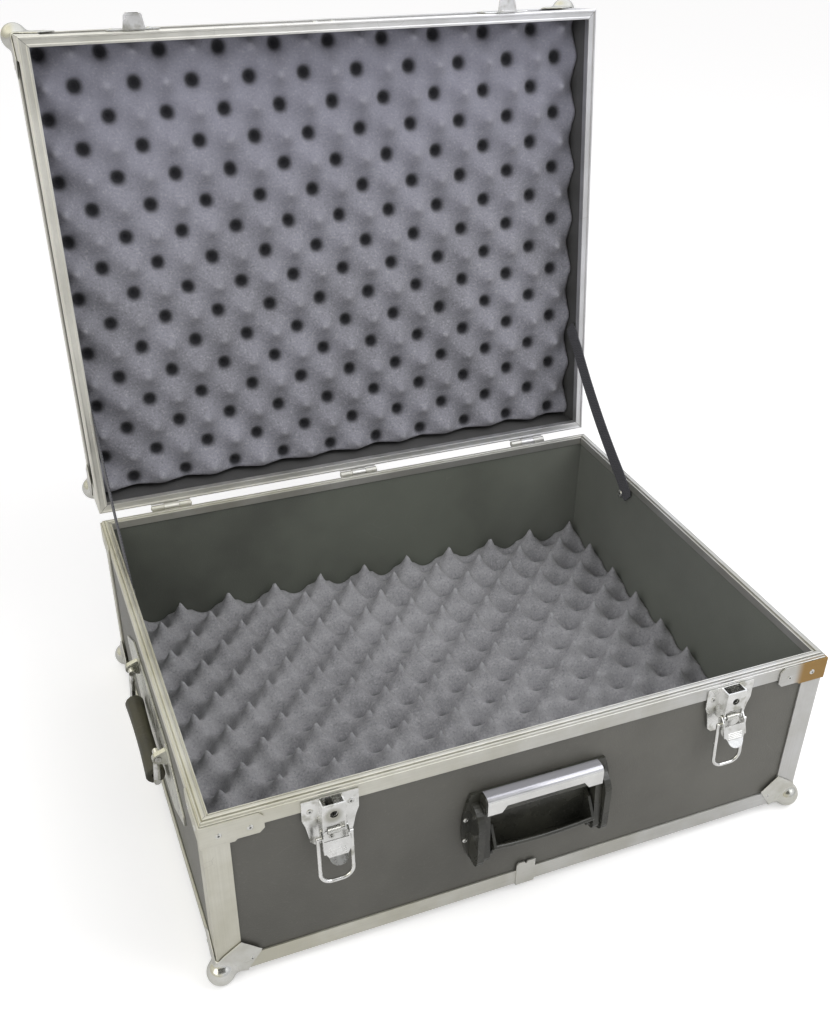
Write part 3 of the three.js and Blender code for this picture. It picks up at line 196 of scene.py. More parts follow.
ROOM_LEVEL = 0.78
CEILING_LEVEL = 0.75
CEILING_EDGE = (0.15, 0.7)
WARM_TO_COOL = (-0.5, 0.35)
ROOM_WARM = linear("f0ecd8")
ROOM_COOL = linear("eff1f6")
ROOM_PLAIN = linear("f3f2f2")
world = bpy.data.worlds.new("studio")
world.use_nodes = True
bpy.context.scene.world = world
tree = world.node_tree
tree.nodes.clear()
ahead = node(tree, "ShaderNodeTexCoord").outputs["Generated"]
sideways = vector(tree, "DOT_PRODUCT", ahead, (1, 0, 0))
seen = node(tree, "ShaderNodeLightPath").outputs
mirrored_tone = blended(tree, span(tree, sideways, *WARM_TO_COOL), ROOM_WARM, ROOM_COOL)
tone = blended(tree, seen["Is Glossy Ray"], ROOM_PLAIN, mirrored_tone)
upward = vector(tree, "DOT_PRODUCT", ahead, (0, 0, 1))
ceiling = span(tree, upward, *CEILING_EDGE, 0.0, CEILING_LEVEL)
mirrored = number(tree, "MULTIPLY", ceiling, seen["Is Glossy Ray"])
level = number(tree, "ADD", mirrored, ROOM_LEVEL)
room = node(tree, "ShaderNodeBackground", tone, level).outputs[0]
white = node(tree, "ShaderNodeBackground", WHITE, 1.0).outputs[0]
choose = node(tree, "ShaderNodeMixShader", seen["Is Camera Ray"], room, white)
node(tree, "ShaderNodeOutputWorld", choose.outputs[0])

LAMPS = {
    "window": {"place": (1.3, -0.9, 1.9), "aim": (0, 0, 0.15), "size": 1.6, "power": 20},
    "fill": {"place": (-1.9, -1.2, 1.5), "aim": (0, 0, 0.2), "size": 1.8, "power": 13},
}
for name, lamp in LAMPS.items():
    light = bpy.data.lights.new(name, "AREA")
    light.shape = "SQUARE"
    light.size = lamp["size"]
    light.energy = lamp["power"]
    holder = put(name, light)
    holder.location = lamp["place"]
    aim = Vector(lamp["aim"]) - Vector(lamp["place"])
    holder.rotation_euler = aim.to_track_quat("-Z", "Y").to_euler()


# Panels: plywood boards faced with a charcoal laminate that has a fine pebbled grain, sawn to
# size and slid into the trim. The faces inside the case are a shade darker and greener, with
# specks of foam dust. Painted light makes the base's inside faces paler towards the right wall,
# and painted shade darkens the front faces towards the left.
HALF_WIDTH, HALF_DEPTH = 0.280, 0.224
BASE_TALL, LID_TALL = 0.175, 0.070
LID_GAP = 0.0006
OPEN_ANGLE = math.radians(96.84)
HINGE_Y, HINGE_Z = 0.228, 0.1753
CASE_ORIGIN = Vector((0, BASE_MIDDLE_Y, STAND))
hinge_at = CASE_ORIGIN + Vector((0, HINGE_Y, HINGE_Z))
swung_open = (
    Matrix.Translation(hinge_at)
    @ Matrix.Rotation(-OPEN_ANGLE, 4, "X")
    @ Matrix.Translation(-hinge_at)
)
lid_to_shut = Matrix.Translation(-CASE_ORIGIN) @ swung_open.inverted()


def turned_shut(tree, output, kind, shift, on_lid):
    """A place or facing, turned into the shut case's axes, also where it is on the open lid."""
    here = node(tree, "ShaderNodeTexCoord").outputs[output]
    angle = OPEN_ANGLE if on_lid else 0
    return node(
        tree, "ShaderNodeMapping", here, shift, (angle, 0, 0), (1, 1, 1), vector_type=kind
    ).outputs[0]


def case_place(tree, on_lid=False):
    """The place in the shut case's axes, from the middle of the base's underside."""
    shift = lid_to_shut.translation if on_lid else -CASE_ORIGIN
    return turned_shut(tree, "Object", "POINT", tuple(shift), on_lid)


def case_facing(tree, on_lid=False):
    """The facing in the shut case's axes."""
    return turned_shut(tree, "Normal", "VECTOR", None, on_lid)


def effect(name, inputs, outputs):
    """A shader node group with its named inputs and outputs, open for its nodes."""
    group = bpy.data.node_groups.new(name, "ShaderNodeTree")
    for label, (kind, value) in inputs.items():
        socket = group.interface.new_socket(label, in_out="INPUT", socket_type=kind)
        if value is not None:
            socket.default_value = value
    for label, kind in outputs.items():
        group.interface.new_socket(label, in_out="OUTPUT", socket_type=kind)
    enter = group.nodes.new("NodeGroupInput").outputs
    leave = group.nodes.new("NodeGroupOutput").inputs
    return group, enter, leave


FLOAT, VECTOR, COLOUR = "NodeSocketFloat", "NodeSocketVector", "NodeSocketColor"
GRAIN = 900.0

clouded, enter, leave = effect(
    "clouded colour",
    {
        "Place": (VECTOR, None),
        "Dark": (COLOUR, (0, 0, 0, 1)),
        "Light": (COLOUR, WHITE),
        "Scale": (FLOAT, 9.0),
    },
    {"Color": COLOUR, "Cloud": FLOAT},
)
cloud = node(clouded, "ShaderNodeTexNoise", enter["Place"], None, enter["Scale"], 4.0, 0.6)
share = span(clouded, cloud.outputs[0], 0.3, 0.7)
clouded.links.new(blended(clouded, share, enter["Dark"], enter["Light"]), leave["Color"])
clouded.links.new(share, leave["Cloud"])

grained, enter, leave = effect(
    "pebbled grain",
    {"Place": (VECTOR, None), "Scale": (FLOAT, GRAIN)},
    {"Height": FLOAT},
)
cells = node(grained, "ShaderNodeTexVoronoi", enter["Place"], None, enter["Scale"])
fine = node(grained, "ShaderNodeTexNoise", enter["Place"], None, enter["Scale"], 2.0, 0.5)
mixed = number(grained, "MULTIPLY_ADD", fine.outputs[0], 0.5, cells.outputs["Distance"])
grained.links.new(mixed, leave["Height"])

scuffed, enter, leave = effect(
    "scuffs and dust",
    {"Place": (VECTOR, None), "Amount": (FLOAT, 0.5)},
    {"Scratch": FLOAT, "Dust": FLOAT},
)
bent = node(scuffed, "ShaderNodeTexNoise", enter["Place"], None, 14.0, 2.0, 0.5)
warped = node(
    scuffed, "ShaderNodeVectorMath", bent.outputs[1], (0.05, 0.05, 0.05), enter["Place"],
    operation="MULTIPLY_ADD",
).outputs[0]
lines = node(
    scuffed, "ShaderNodeTexVoronoi", warped, None, 38.0, feature="DISTANCE_TO_EDGE"
).outputs["Distance"]
thin = span(scuffed, lines, 0.012, 0.0)
where = node(scuffed, "ShaderNodeTexNoise", enter["Place"], None, 21.0, 3.0, 0.6).outputs[0]
rare = span(scuffed, where, 0.56, 0.68)
scratch = number(scuffed, "MULTIPLY", number(scuffed, "MULTIPLY", thin, rare), enter["Amount"])
specks = node(scuffed, "ShaderNodeTexNoise", enter["Place"], None, 420.0, 3.0, 0.7).outputs[0]
dust = number(scuffed, "MULTIPLY", span(scuffed, specks, 0.58, 0.72), enter["Amount"])
scuffed.links.new(scratch, leave["Scratch"])
scuffed.links.new(dust, leave["Dust"])


def use(tree, group, **values):
    """The outputs of a group placed in a material with its own values."""
    return plugged(tree, node(tree, "ShaderNodeGroup", node_tree=group), values).outputs


def cloudy(tree, place, tones, scale):
    """Clouds of a dark and a light tone, both written as they are seen: their colour and mask."""
    dark, light = map(linear, tones)
    return use(tree, clouded, Place=place, Dark=dark, Light=light, Scale=scale)


def gloss(tree, tone, low, high):
    """A roughness that follows the clouds."""
    return span(tree, tone["Cloud"], 0, 1, low, high, smooth=False)


def marked(tree, colour, mask, amount, code):
    """A colour with marks in another, written as it is seen, laid over it by a mask."""
    return blended(tree, number(tree, "MULTIPLY", mask, amount), colour, linear(code))


def surface(tree, colour, rough, height, strength, depth, **plain):
    """A Principled BSDF on the output, with its colour, roughness and bump."""
    bump = plugged(
        tree, node(tree, "ShaderNodeBump"),
        {"Strength": strength, "Distance": depth, "Height": height},
    )
    values = {"Base Color": colour, "Roughness": rough, "Normal": bump.outputs[0]}
    for name, value in plain.items():
        values[name.replace("_", " ")] = value
    bsdf = plugged(tree, node(tree, "ShaderNodeBsdfPrincipled"), values)
    node(tree, "ShaderNodeOutputMaterial", bsdf.outputs[0])


WELD = 0.00001
SHARP = math.radians(28)


def welded(piece):
    """Joins the split corners of a piece, which a bevel or a remesh needs."""
    piece.modifiers.new("weld", "WELD").merge_threshold = WELD


def dress(name, material, width=0.0, segments=2):
    """Gives a CAD node its material, and rounds its sharp edges by a width in metres."""
    piece = nodes[name]
    piece.data.materials.clear()
    piece.data.materials.append(material)
    if width:
        welded(piece)
        bevel = piece.modifiers.new("round", "BEVEL")
        bevel.width = width
        bevel.segments = segments
        bevel.limit_method = "ANGLE"
        bevel.angle_limit = SHARP
        bevel.harden_normals = False


OUTSIDE = ("56554f", "676660")
INSIDE = ("52544e", "686c63")
LID_INSIDE = ("4c4c4b", "5c5c5c")
SHADE_FROM, SHADE_TO, PAINTED_SHADE_SHARE = 0.2, -0.28, 0.3
LIGHT_FROM, LIGHT_TO, PAINTED_LIGHT_SHARE = 0.13, 0.272, 0.28
BASE_HEART, LID_HEART = 0.085, 0.210
TURN_IN = 0.004


def laminate(name, on_lid):
    """Charcoal laminate: pebbled, a little cloudy, scuffed and darker inside the case, with painted
    shade on its front faces towards the left and painted light on the base's inside faces towards
    the right.
    """
    material, tree = new_material(name)
    place, facing = case_place(tree, on_lid), case_facing(tree, on_lid)
    middle = (0, 0, LID_HEART if on_lid else BASE_HEART)
    outward = vector(tree, "DOT_PRODUCT", facing, vector(tree, "SUBTRACT", place, middle))
    inside = span(tree, outward, TURN_IN, -TURN_IN)
    outer = cloudy(tree, place, OUTSIDE, 7.0)
    inner = cloudy(tree, place, LID_INSIDE if on_lid else INSIDE, 5.0)
    worn = use(tree, scuffed, Place=place, Amount=0.5)
    across = parts(tree, place)[0]
    to_front = number(tree, "ABSOLUTE", parts(tree, facing)[1])
    # Painted shade: faces that look to the front or back are darkened towards the left.
    shade = span(tree, across, SHADE_TO, SHADE_FROM, PAINTED_SHADE_SHARE, 0.0)
    painted_front_shade = number(tree, "MULTIPLY", shade, to_front)
    outer_colour = blended(tree, painted_front_shade, outer["Color"], linear("2a2926"))
    # Painted light: the base's inside faces are made paler towards the right wall.
    painted_light_right = span(tree, across, LIGHT_FROM, LIGHT_TO, 0.0, 0.0 if on_lid else PAINTED_LIGHT_SHARE)
    inner_colour = blended(tree, painted_light_right, inner["Color"], linear("a0a39c"))
    colour = blended(tree, inside, outer_colour, inner_colour)
    colour = marked(tree, colour, worn["Scratch"], 0.35, "8e8e88")
    colour = marked(tree, colour, worn["Dust"], 0.12, "b4b2a8")
    rough = gloss(tree, outer, 0.36, 0.5)
    grain = use(tree, grained, Place=place, Scale=GRAIN)["Height"]
    surface(tree, colour, rough, grain, 0.3, 0.0004, Specular_IOR_Level=0.45)
    return material


base_laminate = laminate("charcoal laminate of the base", False)
lid_laminate = laminate("charcoal laminate of the lid", True)
for name in nodes:
    if name.endswith("_panel"):
        dress(name, lid_laminate if name.startswith("lid") else base_laminate, 0.0003)


# Trim: extruded aluminium, satin anodised and brushed along its run, cut with mitred corners and
# pressed over the boards' edges: the two rims, the corner and bottom angles and the lid's edge
# trim.
ALONG, ACROSS = 9, 1400
brushed, enter, leave = effect(
    "brushed along the run",
    {"Place": (VECTOR, None), "Upright": (FLOAT, 0.0)},
    {"Lines": FLOAT, "Seam": FLOAT},
)
apart = parts(brushed, enter["Place"])
side = number(brushed, "SUBTRACT", number(brushed, "ABSOLUTE", apart[0]), HALF_WIDTH - HALF_DEPTH)
mitre = number(brushed, "SUBTRACT", side, number(brushed, "ABSOLUTE", apart[1]))
on_side = number(brushed, "GREATER_THAN", mitre, 0.0)
flat_run = blended(brushed, on_side, (ALONG, ACROSS, ACROSS, 1), (ACROSS, ALONG, ACROSS, 1))
run = blended(brushed, enter["Upright"], flat_run, (ACROSS, ACROSS, ALONG, 1))
stretched = vector(brushed, "MULTIPLY", enter["Place"], run)
strokes = node(brushed, "ShaderNodeTexNoise", stretched, None, 1.0, 2.0, 0.6).outputs[0]
brushed.links.new(span(brushed, strokes, 0.25, 0.75, smooth=False), leave["Lines"])
joint = span(brushed, number(brushed, "ABSOLUTE", mitre), 0.0004, 0.0001)
level = number(brushed, "SUBTRACT", 1.0, enter["Upright"])
brushed.links.new(number(brushed, "MULTIPLY", joint, level), leave["Seam"])

TRIM = ("c6c5bc", "d9d9d5")
LID_TRIM = ("dadad8", "ececec")
PAINTED_WARM_REFLECTION, PAINTED_NEUTRAL_REFLECTION = (0.99, 0.975, 0.91, 1), (0.89, 0.89, 0.92, 1)
BRONZE_FROM, BRONZE_TO = 0.247, 0.258


def satin(name, on_lid=False, upright=0.0, seams=True, bronze=False):
    """Satin anodised aluminium with brush strokes, smudges, nicks and dark joints at the mitres,
    and a painted reflection that tints it olive towards the left.
    """
    material, tree = new_material(name)
    place = case_place(tree, on_lid)
    tone = cloudy(tree, place, LID_TRIM if on_lid else TRIM, 16.0)
    stroke = use(tree, brushed, Place=place, Upright=upright)
    worn = use(tree, scuffed, Place=place, Amount=0.8)
    colour = marked(tree, tone["Color"], stroke["Lines"], 0.16, "a9a9a2")
    across = parts(tree, place)[0]
    # Painted reflection: the trim is tinted olive towards the left and neutral towards the right.
    painted_reflection_tint = blended(tree, span(tree, across, -0.26, 0.22), PAINTED_WARM_REFLECTION, PAINTED_NEUTRAL_REFLECTION)
    colour = blended(tree, 1.0, colour, painted_reflection_tint, "MULTIPLY")
    if bronze:
        # A bronze tone laid on towards the right end of the front right bracket.
        toned = span(tree, across, BRONZE_FROM, BRONZE_TO)
        colour = blended(tree, toned, colour, linear("9b7c4a"))
    colour = marked(tree, colour, worn["Scratch"], 0.45, "8b8a80")
    colour = marked(tree, colour, worn["Dust"], 0.1, "77766e")
    if seams:
        colour = marked(tree, colour, stroke["Seam"], 0.75, "3c3c38")
    level = number(tree, "MULTIPLY_ADD", stroke["Lines"], 0.12, 0.34)
    rough = number(tree, "MULTIPLY_ADD", tone["Cloud"], 0.06, level)
    surface(tree, colour, rough, stroke["Lines"], 0.12, 0.0001, Metallic=0.85)
    return material


base_trim = satin("satin trim of the base")
base_posts = satin("satin posts of the base", upright=1.0)
lid_trim = satin("satin trim of the lid", on_lid=True)
plain_trim = satin("satin brackets", seams=False)
toned_trim = satin("satin bracket toned bronze at one end", seams=False, bronze=True)
for name in nodes:
    if name == "base_rim" or name.startswith("base_bottom_angle"):
        dress(name, base_trim, 0.00035)
    if name in ("lid_rim", "lid_edge_trim"):
        dress(name, lid_trim, 0.00035)
    if name.startswith("base_corner_angle"):
        dress(name, base_posts, 0.0005)
    if name.startswith("base_corner_bracket"):
        dress(name, toned_trim if name.endswith("front_right") else plain_trim, 0.0003)


# Hinges: steel leaves pressed round their pins and screwed to the backs of the two rims. They are
# plated to match the trim beside them.
for name in nodes:
    if name.startswith("hinge"):
        dress(name, lid_trim if "lid_leaf" in name else plain_trim, 0.0003)


# Ball corners: steel caps pressed in one draw, a dome on three flaps, plated satin with a
# polished dome. The press rounds their edges and draws the root of the dome out softly into the
# flaps.
VOXEL = 0.0006
DRAWN_FROM, DRAWN_TO = 0.0165, 0.0215
PULL_LEAST, PULL_MORE = 0.06, 0.54
DRAWS = 60
BALL_IN = 0.003
BALL_SIZE = 0.0125
DOME_EDGE = (BALL_SIZE + 0.0035, BALL_SIZE + 0.0005)


def remeshed(piece, voxel):
    """Adds the remesh that rounds a piece as pressing or moulding does."""
    welded(piece)
    remesh = piece.modifiers.new("press", "REMESH")
    remesh.mode = "VOXEL"
    remesh.voxel_size = voxel
    return remesh


def capped(name, on_lid):
    """Satin plating that is polished over the dome."""
    material, tree = new_material(name)
    place = case_place(tree, on_lid)
    level = BASE_TALL + LID_TALL - BALL_IN if on_lid else BALL_IN
    ball = (HALF_WIDTH - BALL_IN, HALF_DEPTH - BALL_IN, level)
    away = vector(tree, "DISTANCE", vector(tree, "ABSOLUTE", place), ball)
    dome = span(tree, away, *DOME_EDGE)
    tone = cloudy(tree, place, ("c4c3ba", "d8d8d4"), 40.0)
    worn = use(tree, scuffed, Place=place, Amount=0.9)
    colour = marked(tree, tone["Color"], worn["Scratch"], 0.4, "8a897e")
    rough = number(tree, "MULTIPLY_ADD", dome, -0.17, 0.36)
    surface(tree, colour, rough, tone["Cloud"], 0.1, 0.0002, Metallic=0.9)
    return material


def new_piece(name, mesh, material, body):
    """A piece of the scene: its mesh in place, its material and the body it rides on."""
    piece = put(name, mesh)
    mesh.materials.clear()
    mesh.materials.append(material)
    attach(piece, body)
    return piece


def evaluated(helper):
    """The plain mesh that a helper's modifiers make of it. The helper is removed."""
    bpy.context.view_layer.update()
    depsgraph = bpy.context.evaluated_depsgraph_get()
    made = bpy.data.meshes.new_from_object(
        helper.evaluated_get(depsgraph), preserve_all_data_layers=True, depsgraph=depsgraph
    )
    bpy.data.objects.remove(helper)
    return made


def drawn_cap(name, ball):
    """A cap's mesh with the root of its dome drawn out softly into the flaps."""
    blank = put("blank", nodes[name].data.copy())
    remeshed(blank, VOXEL)
    made = evaluated(blank)
    count = len(made.vertices)
    place = np.zeros(count * 3)
    made.vertices.foreach_get("co", place)
    place = place.reshape(-1, 3)
    ends = np.zeros(len(made.edges) * 2, int)
    made.edges.foreach_get("vertices", ends)
    one, two = ends.reshape(-1, 2).T
    near = np.bincount(one, minlength=count) + np.bincount(two, minlength=count)
    away = np.linalg.norm(place - np.array(ball), axis=1)
    share = np.clip((DRAWN_TO - away) / (DRAWN_TO - DRAWN_FROM), 0, 1)
    pull = (PULL_LEAST + PULL_MORE * share * share * (3 - 2 * share))[:, None]
    for _ in range(DRAWS):
        sums = np.stack([
            np.bincount(one, place[two, axis], count) + np.bincount(two, place[one, axis], count)
            for axis in range(3)
        ], axis=1)
        place = place + pull * (sums / near[:, None] - place)
    made.vertices.foreach_set("co", place.ravel())
    made.polygons.foreach_set("use_smooth", [True] * len(made.polygons))
    made.update()
    return made


base_cap = capped("plated caps of the base", False)
lid_cap = capped("plated caps of the lid", True)
for name in [name for name in nodes if "ball_corner" in name]:
    body = name.split("_")[0]
    ball = Vector((
        (HALF_WIDTH - BALL_IN) * (1 if "right" in name else -1),
        (HALF_DEPTH - BALL_IN) * (1 if "back" in name else -1),
        BALL_IN if body == "base" else BASE_TALL + LID_TALL + LID_GAP - BALL_IN,
    )) + CASE_ORIGIN
    if body == "lid":
        ball = swung_open @ ball
    material = base_cap if body == "base" else lid_cap
    piece = new_piece(f"drawn_{name}", drawn_cap(name, ball), material, body)
    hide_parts(name)


# Latches: pressed steel with bright nickel plating. The plate and its bridge are fixed to the
# front, the lever turns on a pin through the bridge, the wire bail hangs in the lever, and the
# lid has a catch.
KEYHOLE = (-0.1816, -HALF_DEPTH - 0.010, 0.1585)
KEYHOLE_PAINTED_SHADE = (0.0095, 0.0045, 0.0, 0.6)


def plated(name, tones, low, high, metal=1.0, stain=0.55):
    """Plating: clouded, smudged in its gloss and tarnished at random, with painted shade darkening
    it round one keyhole.
    """
    material, tree = new_material(name)
    place = case_place(tree)
    tone = cloudy(tree, place, tones, 55.0)
    worn = use(tree, scuffed, Place=place, Amount=0.7)
    colour = marked(tree, tone["Color"], worn["Scratch"], 0.35, "77776f")
    spread = node(tree, "ShaderNodeTexNoise", place, None, 70.0, 3.0, 0.55).outputs[0]
    # Painted shade darkens the plating round the left latch's keyhole; the noise adds random
    # tarnish.
    away = vector(tree, "DISTANCE", place, KEYHOLE)
    tarnish_and_shade = number(
        tree, "MAXIMUM",
        span(tree, spread, 0.54, 0.7, 0.0, stain),
        span(tree, away, *KEYHOLE_PAINTED_SHADE),
    )
    colour = blended(tree, tarnish_and_shade, colour, linear("7f7d66"))
    rough = gloss(tree, tone, low, high)
    surface(tree, colour, rough, tone["Cloud"], 0.08, 0.0001, Metallic=metal)
    return material


def pressed(name, material, voxel, smoothing):
    """Gives a CAD node its material and the soft edges of a bent or moulded piece."""
    dress(name, material)
    piece = nodes[name]
    remeshed(piece, voxel).use_smooth_shade = True
    smooth = piece.modifiers.new("soften", "SMOOTH")
    smooth.factor = 0.5
    smooth.iterations = smoothing


bright_plate = plated("bright nickel plating", ("d2d2cf", "ebebe9"), 0.17, 0.3)
satin_plate = plated("satin nickel plating", ("bdbdb4", "d4d4cc"), 0.22, 0.38, stain=0.15)
pale_plate = plated("pale nickel plating", ("d6d6d6", "ececee"), 0.2, 0.3, metal=0.4)
for name in nodes:
    if name.startswith(("latch_plate", "latch_lever", "lid_catch")):
        dress(name, bright_plate, 0.00035, 3)
    if name.startswith("latch_bail"):
        pressed(name, bright_plate, 0.00045, 4)

# The lock core behind each keyhole: a turned steel barrel, blackened, with a slot for the key. It
# stands on the front and ends inside the bridge.
LATCH_X = 0.1806
LATCHES = {"left": -LATCH_X, "right": LATCH_X}
CORE_Z = 0.1595
CORE_RADIUS = 0.0031
CORE_BACK, CORE_FRONT = 0.0018, 0.0094
CORE_EDGE = 0.0004
CORE_SLOT = (0.0005, 0.0019)
CORE_SLOT_DEEP = 0.0022
CORE_SIDES = 24
blackened, tree = new_material("blackened steel")
place = case_place(tree)
tone = cloudy(tree, place, ("1c1c1b", "34342f"), 300.0)
rough = gloss(tree, tone, 0.3, 0.5)
surface(tree, tone["Color"], rough, tone["Cloud"], 0.15, 0.0002, Metallic=0.6)


def round_outline(radius):
    """The corners of a circle."""
    turns = [2 * math.pi * i / CORE_SIDES for i in range(CORE_SIDES)]
    return [(radius * math.cos(a), radius * math.sin(a)) for a in turns]


def slot_outline(wide, tall):
    """The corners of a circle, pressed into a slot."""
    return [
        (max(-wide, min(wide, tall * 2 * u)), max(-tall, min(tall, tall * 1.5 * v)))
        for u, v in round_outline(1)
    ]


def ring(mesh, points):
    """New corners of a mesh at the points."""
    return [mesh.verts.new(point) for point in points]


def bridge(mesh, first, second):
    """Faces between two closed rings of as many corners."""
    for i, j in zip(range(len(first)), [*range(1, len(first)), 0]):
        mesh.faces.new((first[i], first[j], second[j], second[i]))


def finished(mesh, name):
    """The data of a closed mesh, with its faces pointing out."""
    bmesh.ops.recalc_face_normals(mesh, faces=mesh.faces)
    made = bpy.data.meshes.new(name)
    mesh.to_mesh(made)
    mesh.free()
    return made


CORE_OUTLINES = [
    (round_outline(CORE_RADIUS), CORE_BACK),
    (round_outline(CORE_RADIUS), CORE_FRONT - CORE_EDGE),
    (round_outline(CORE_RADIUS - CORE_EDGE), CORE_FRONT),
    (slot_outline(*CORE_SLOT), CORE_FRONT),
    (slot_outline(*CORE_SLOT), CORE_FRONT - CORE_SLOT_DEEP),
]
for side, x in LATCHES.items():
    mesh = bmesh.new()
    middle = Vector((x, -HALF_DEPTH, CORE_Z)) + CASE_ORIGIN
    rings = [
        ring(mesh, [middle + Vector((u, -out, v)) for u, v in outline])
        for outline, out in CORE_OUTLINES
    ]
    for first, second in zip(rings, rings[1:]):
        bridge(mesh, first, second)
    mesh.faces.new(list(reversed(rings[0])))
    mesh.faces.new(rings[-1])
    made = finished(mesh, f"lock core {side}")
    new_piece(f"lock_core_{side}", made, blackened, "base")

# The cheek pressed out of each lid catch beside its hook: a tapered plate with rounded corners
# and a pressed-in field, whose edge is left standing.
CHEEK_FOOT, CHEEK_TOP = 0.0100, 0.0082
CHEEK_NEAR, CHEEK_FAR = 0.0012, 0.0142
CHEEK_LOW, CHEEK_HIGH = 0.0002, 0.0013
CHEEK_ROUND = 0.0022
CHEEK_STEPS = 6
CHEEK_EDGE, CHEEK_SLOPE, CHEEK_SUNK = 0.0016, 0.0005, 0.0006
for side, x in LATCHES.items():
    outline = [(-CHEEK_FOOT, CHEEK_NEAR), (CHEEK_FOOT, CHEEK_NEAR)]
    for sign in (1, -1):
        for i in range(CHEEK_STEPS + 1)[::sign]:
            a = math.pi / 2 * i / CHEEK_STEPS
            outline.append((
                sign * (CHEEK_TOP - CHEEK_ROUND + CHEEK_ROUND * math.cos(a)),
                CHEEK_FAR - CHEEK_ROUND + CHEEK_ROUND * math.sin(a),
            ))
    mesh = bmesh.new()
    low, high = [
        ring(mesh, [(x + u, -HALF_DEPTH - v, BASE_TALL + LID_GAP + z) for u, v in outline])
        for z in (CHEEK_LOW, CHEEK_HIGH)
    ]
    bridge(mesh, low, high)
    field = mesh.faces.new(low)
    mesh.faces.new(high)
    bmesh.ops.recalc_face_normals(mesh, faces=mesh.faces)
    bmesh.ops.inset_region(mesh, faces=[field], thickness=CHEEK_EDGE, depth=0)
    bmesh.ops.inset_region(mesh, faces=[field], thickness=CHEEK_SLOPE, depth=-CHEEK_SUNK)
    made = finished(mesh, f"catch cheek {side}")
    made.transform(swung_open @ Matrix.Translation(CASE_ORIGIN))
    new_piece(f"catch_cheek_{side}", made, pale_plate, "lid")

# The small torsion spring on each lever's pin: bright wire, wound close. It stays on the base with
# the pin while the lever turns.
SPRING_RADIUS = 0.0027
SPRING_WIRE = 0.00047
SPRING_TURNS = 11.0
SPRING_LONG = 0.0105
SPRING_STEPS, SPRING_SIDES = 20, 8
PIVOT_Z = 0.141
PIVOT_OUT = 0.0085


def shape_tree(name, sockets):
    """A geometry tree with its named inputs, open for its nodes."""
    tree = bpy.data.node_groups.new(name, "GeometryNodeTree")
    tree.is_modifier = True
    tree.interface.new_socket("Geometry", in_out="INPUT", socket_type="NodeSocketGeometry")
    tree.interface.new_socket("Geometry", in_out="OUTPUT", socket_type="NodeSocketGeometry")
    for label, kind in sockets.items():
        tree.interface.new_socket(label, in_out="INPUT", socket_type=kind)
    enter = tree.nodes.new("NodeGroupInput").outputs
    leave = tree.nodes.new("NodeGroupOutput").inputs
    return tree, enter, leave


def close_tree(tree, leave, geometry, material):
    """Ends a geometry tree with real geometry in one material, shaded smooth."""
    real = node(tree, "GeometryNodeRealizeInstances", geometry).outputs[0]
    smooth = node(tree, "GeometryNodeSetShadeSmooth", real).outputs[0]
    placed = plugged(
        tree, node(tree, "GeometryNodeSetMaterial"), {"Geometry": smooth, "Material": material}
    )
    tree.links.new(placed.outputs[0], leave["Geometry"])


def grown(name, mesh, tree, values):
    """The plain mesh that a geometry tree makes of a mesh, with its inputs set."""
    seed = put(name, mesh)
    modifier = seed.modifiers.new(name, "NODES")
    modifier.node_group = tree
    for item in tree.interface.items_tree:
        if item.item_type == "SOCKET" and item.in_out == "INPUT" and item.name in values:
            modifier[item.identifier] = values[item.name]
    return evaluated(seed)


spring_tree, enter, leave = shape_tree(
    "wound spring", {"Coil": FLOAT, "Wire": FLOAT, "Turns": FLOAT, "Long": FLOAT}
)
coil = plugged(spring_tree, node(spring_tree, "GeometryNodeCurveSpiral"), {
    "Resolution": SPRING_STEPS,
    "Rotations": enter["Turns"],
    "Start Radius": enter["Coil"],
    "End Radius": enter["Coil"],
    "Height": enter["Long"],
})
wire = plugged(spring_tree, node(spring_tree, "GeometryNodeCurvePrimitiveCircle"), {
    "Resolution": SPRING_SIDES,
    "Radius": enter["Wire"],
})
swept = node(spring_tree, "GeometryNodeCurveToMesh", coil.outputs[0], wire.outputs[0])
plugged(spring_tree, swept, {"Fill Caps": True})
close_tree(spring_tree, leave, swept.outputs[0], bright_plate)
for side, x in LATCHES.items():
    spring = grown(
        f"spring_{side}",
        bpy.data.meshes.new("spring"),
        spring_tree,
        {"Coil": SPRING_RADIUS, "Wire": SPRING_WIRE, "Turns": SPRING_TURNS, "Long": SPRING_LONG},
    )
    at = CASE_ORIGIN + Vector((x - SPRING_LONG / 2, -HALF_DEPTH - PIVOT_OUT, PIVOT_Z))
    spring.transform(Matrix.Translation(at) @ Matrix.Rotation(math.pi / 2, 4, "Y"))
    new_piece(f"latch_spring_{side}", spring, bright_plate, "base")


# Rivets: tubular steel rivets with rolled heads, set through the plates, brackets, caps and
# catches; the dimple in each head is painted dark as painted shade for its hollow middle. One
# piece on each body; each point carries the way its head faces and its radius.
ON_TRIM, ON_PLATE = 0.0015, -0.0005
BOTH = (-1, 1)
CAP_RIVET = 0.0285
STAY_RIVET = (0.2689, HALF_DEPTH - 0.1080, 0.1545)


def on_front(places, radius, out=ON_TRIM):
    """Rivets through the front, at places across and up."""
    return [((x, -HALF_DEPTH - out, z), (0, -1, 0), radius) for x, z in places]


def on_sides(places, radius):
    """Rivets through a plate on each side, at places along and up."""
    out = HALF_WIDTH + ON_PLATE
    return [((s * out, y, z), (s, 0, 0), radius) for s in BOTH for y, z in places]


def at_corners(insets, level, radius):
    """Rivets through both faces of the four corners, at insets from them."""
    corners = [(sx, sy, inset) for sx in BOTH for sy in BOTH for inset in insets]
    return [
        *[((sx * (HALF_WIDTH - inset), sy * (HALF_DEPTH + ON_TRIM), level), (0, sy, 0), radius)
          for sx, sy, inset in corners],
        *[((sx * (HALF_WIDTH + ON_TRIM), sy * (HALF_DEPTH - inset), level), (sx, 0, 0), radius)
          for sx, sy, inset in corners],
    ]


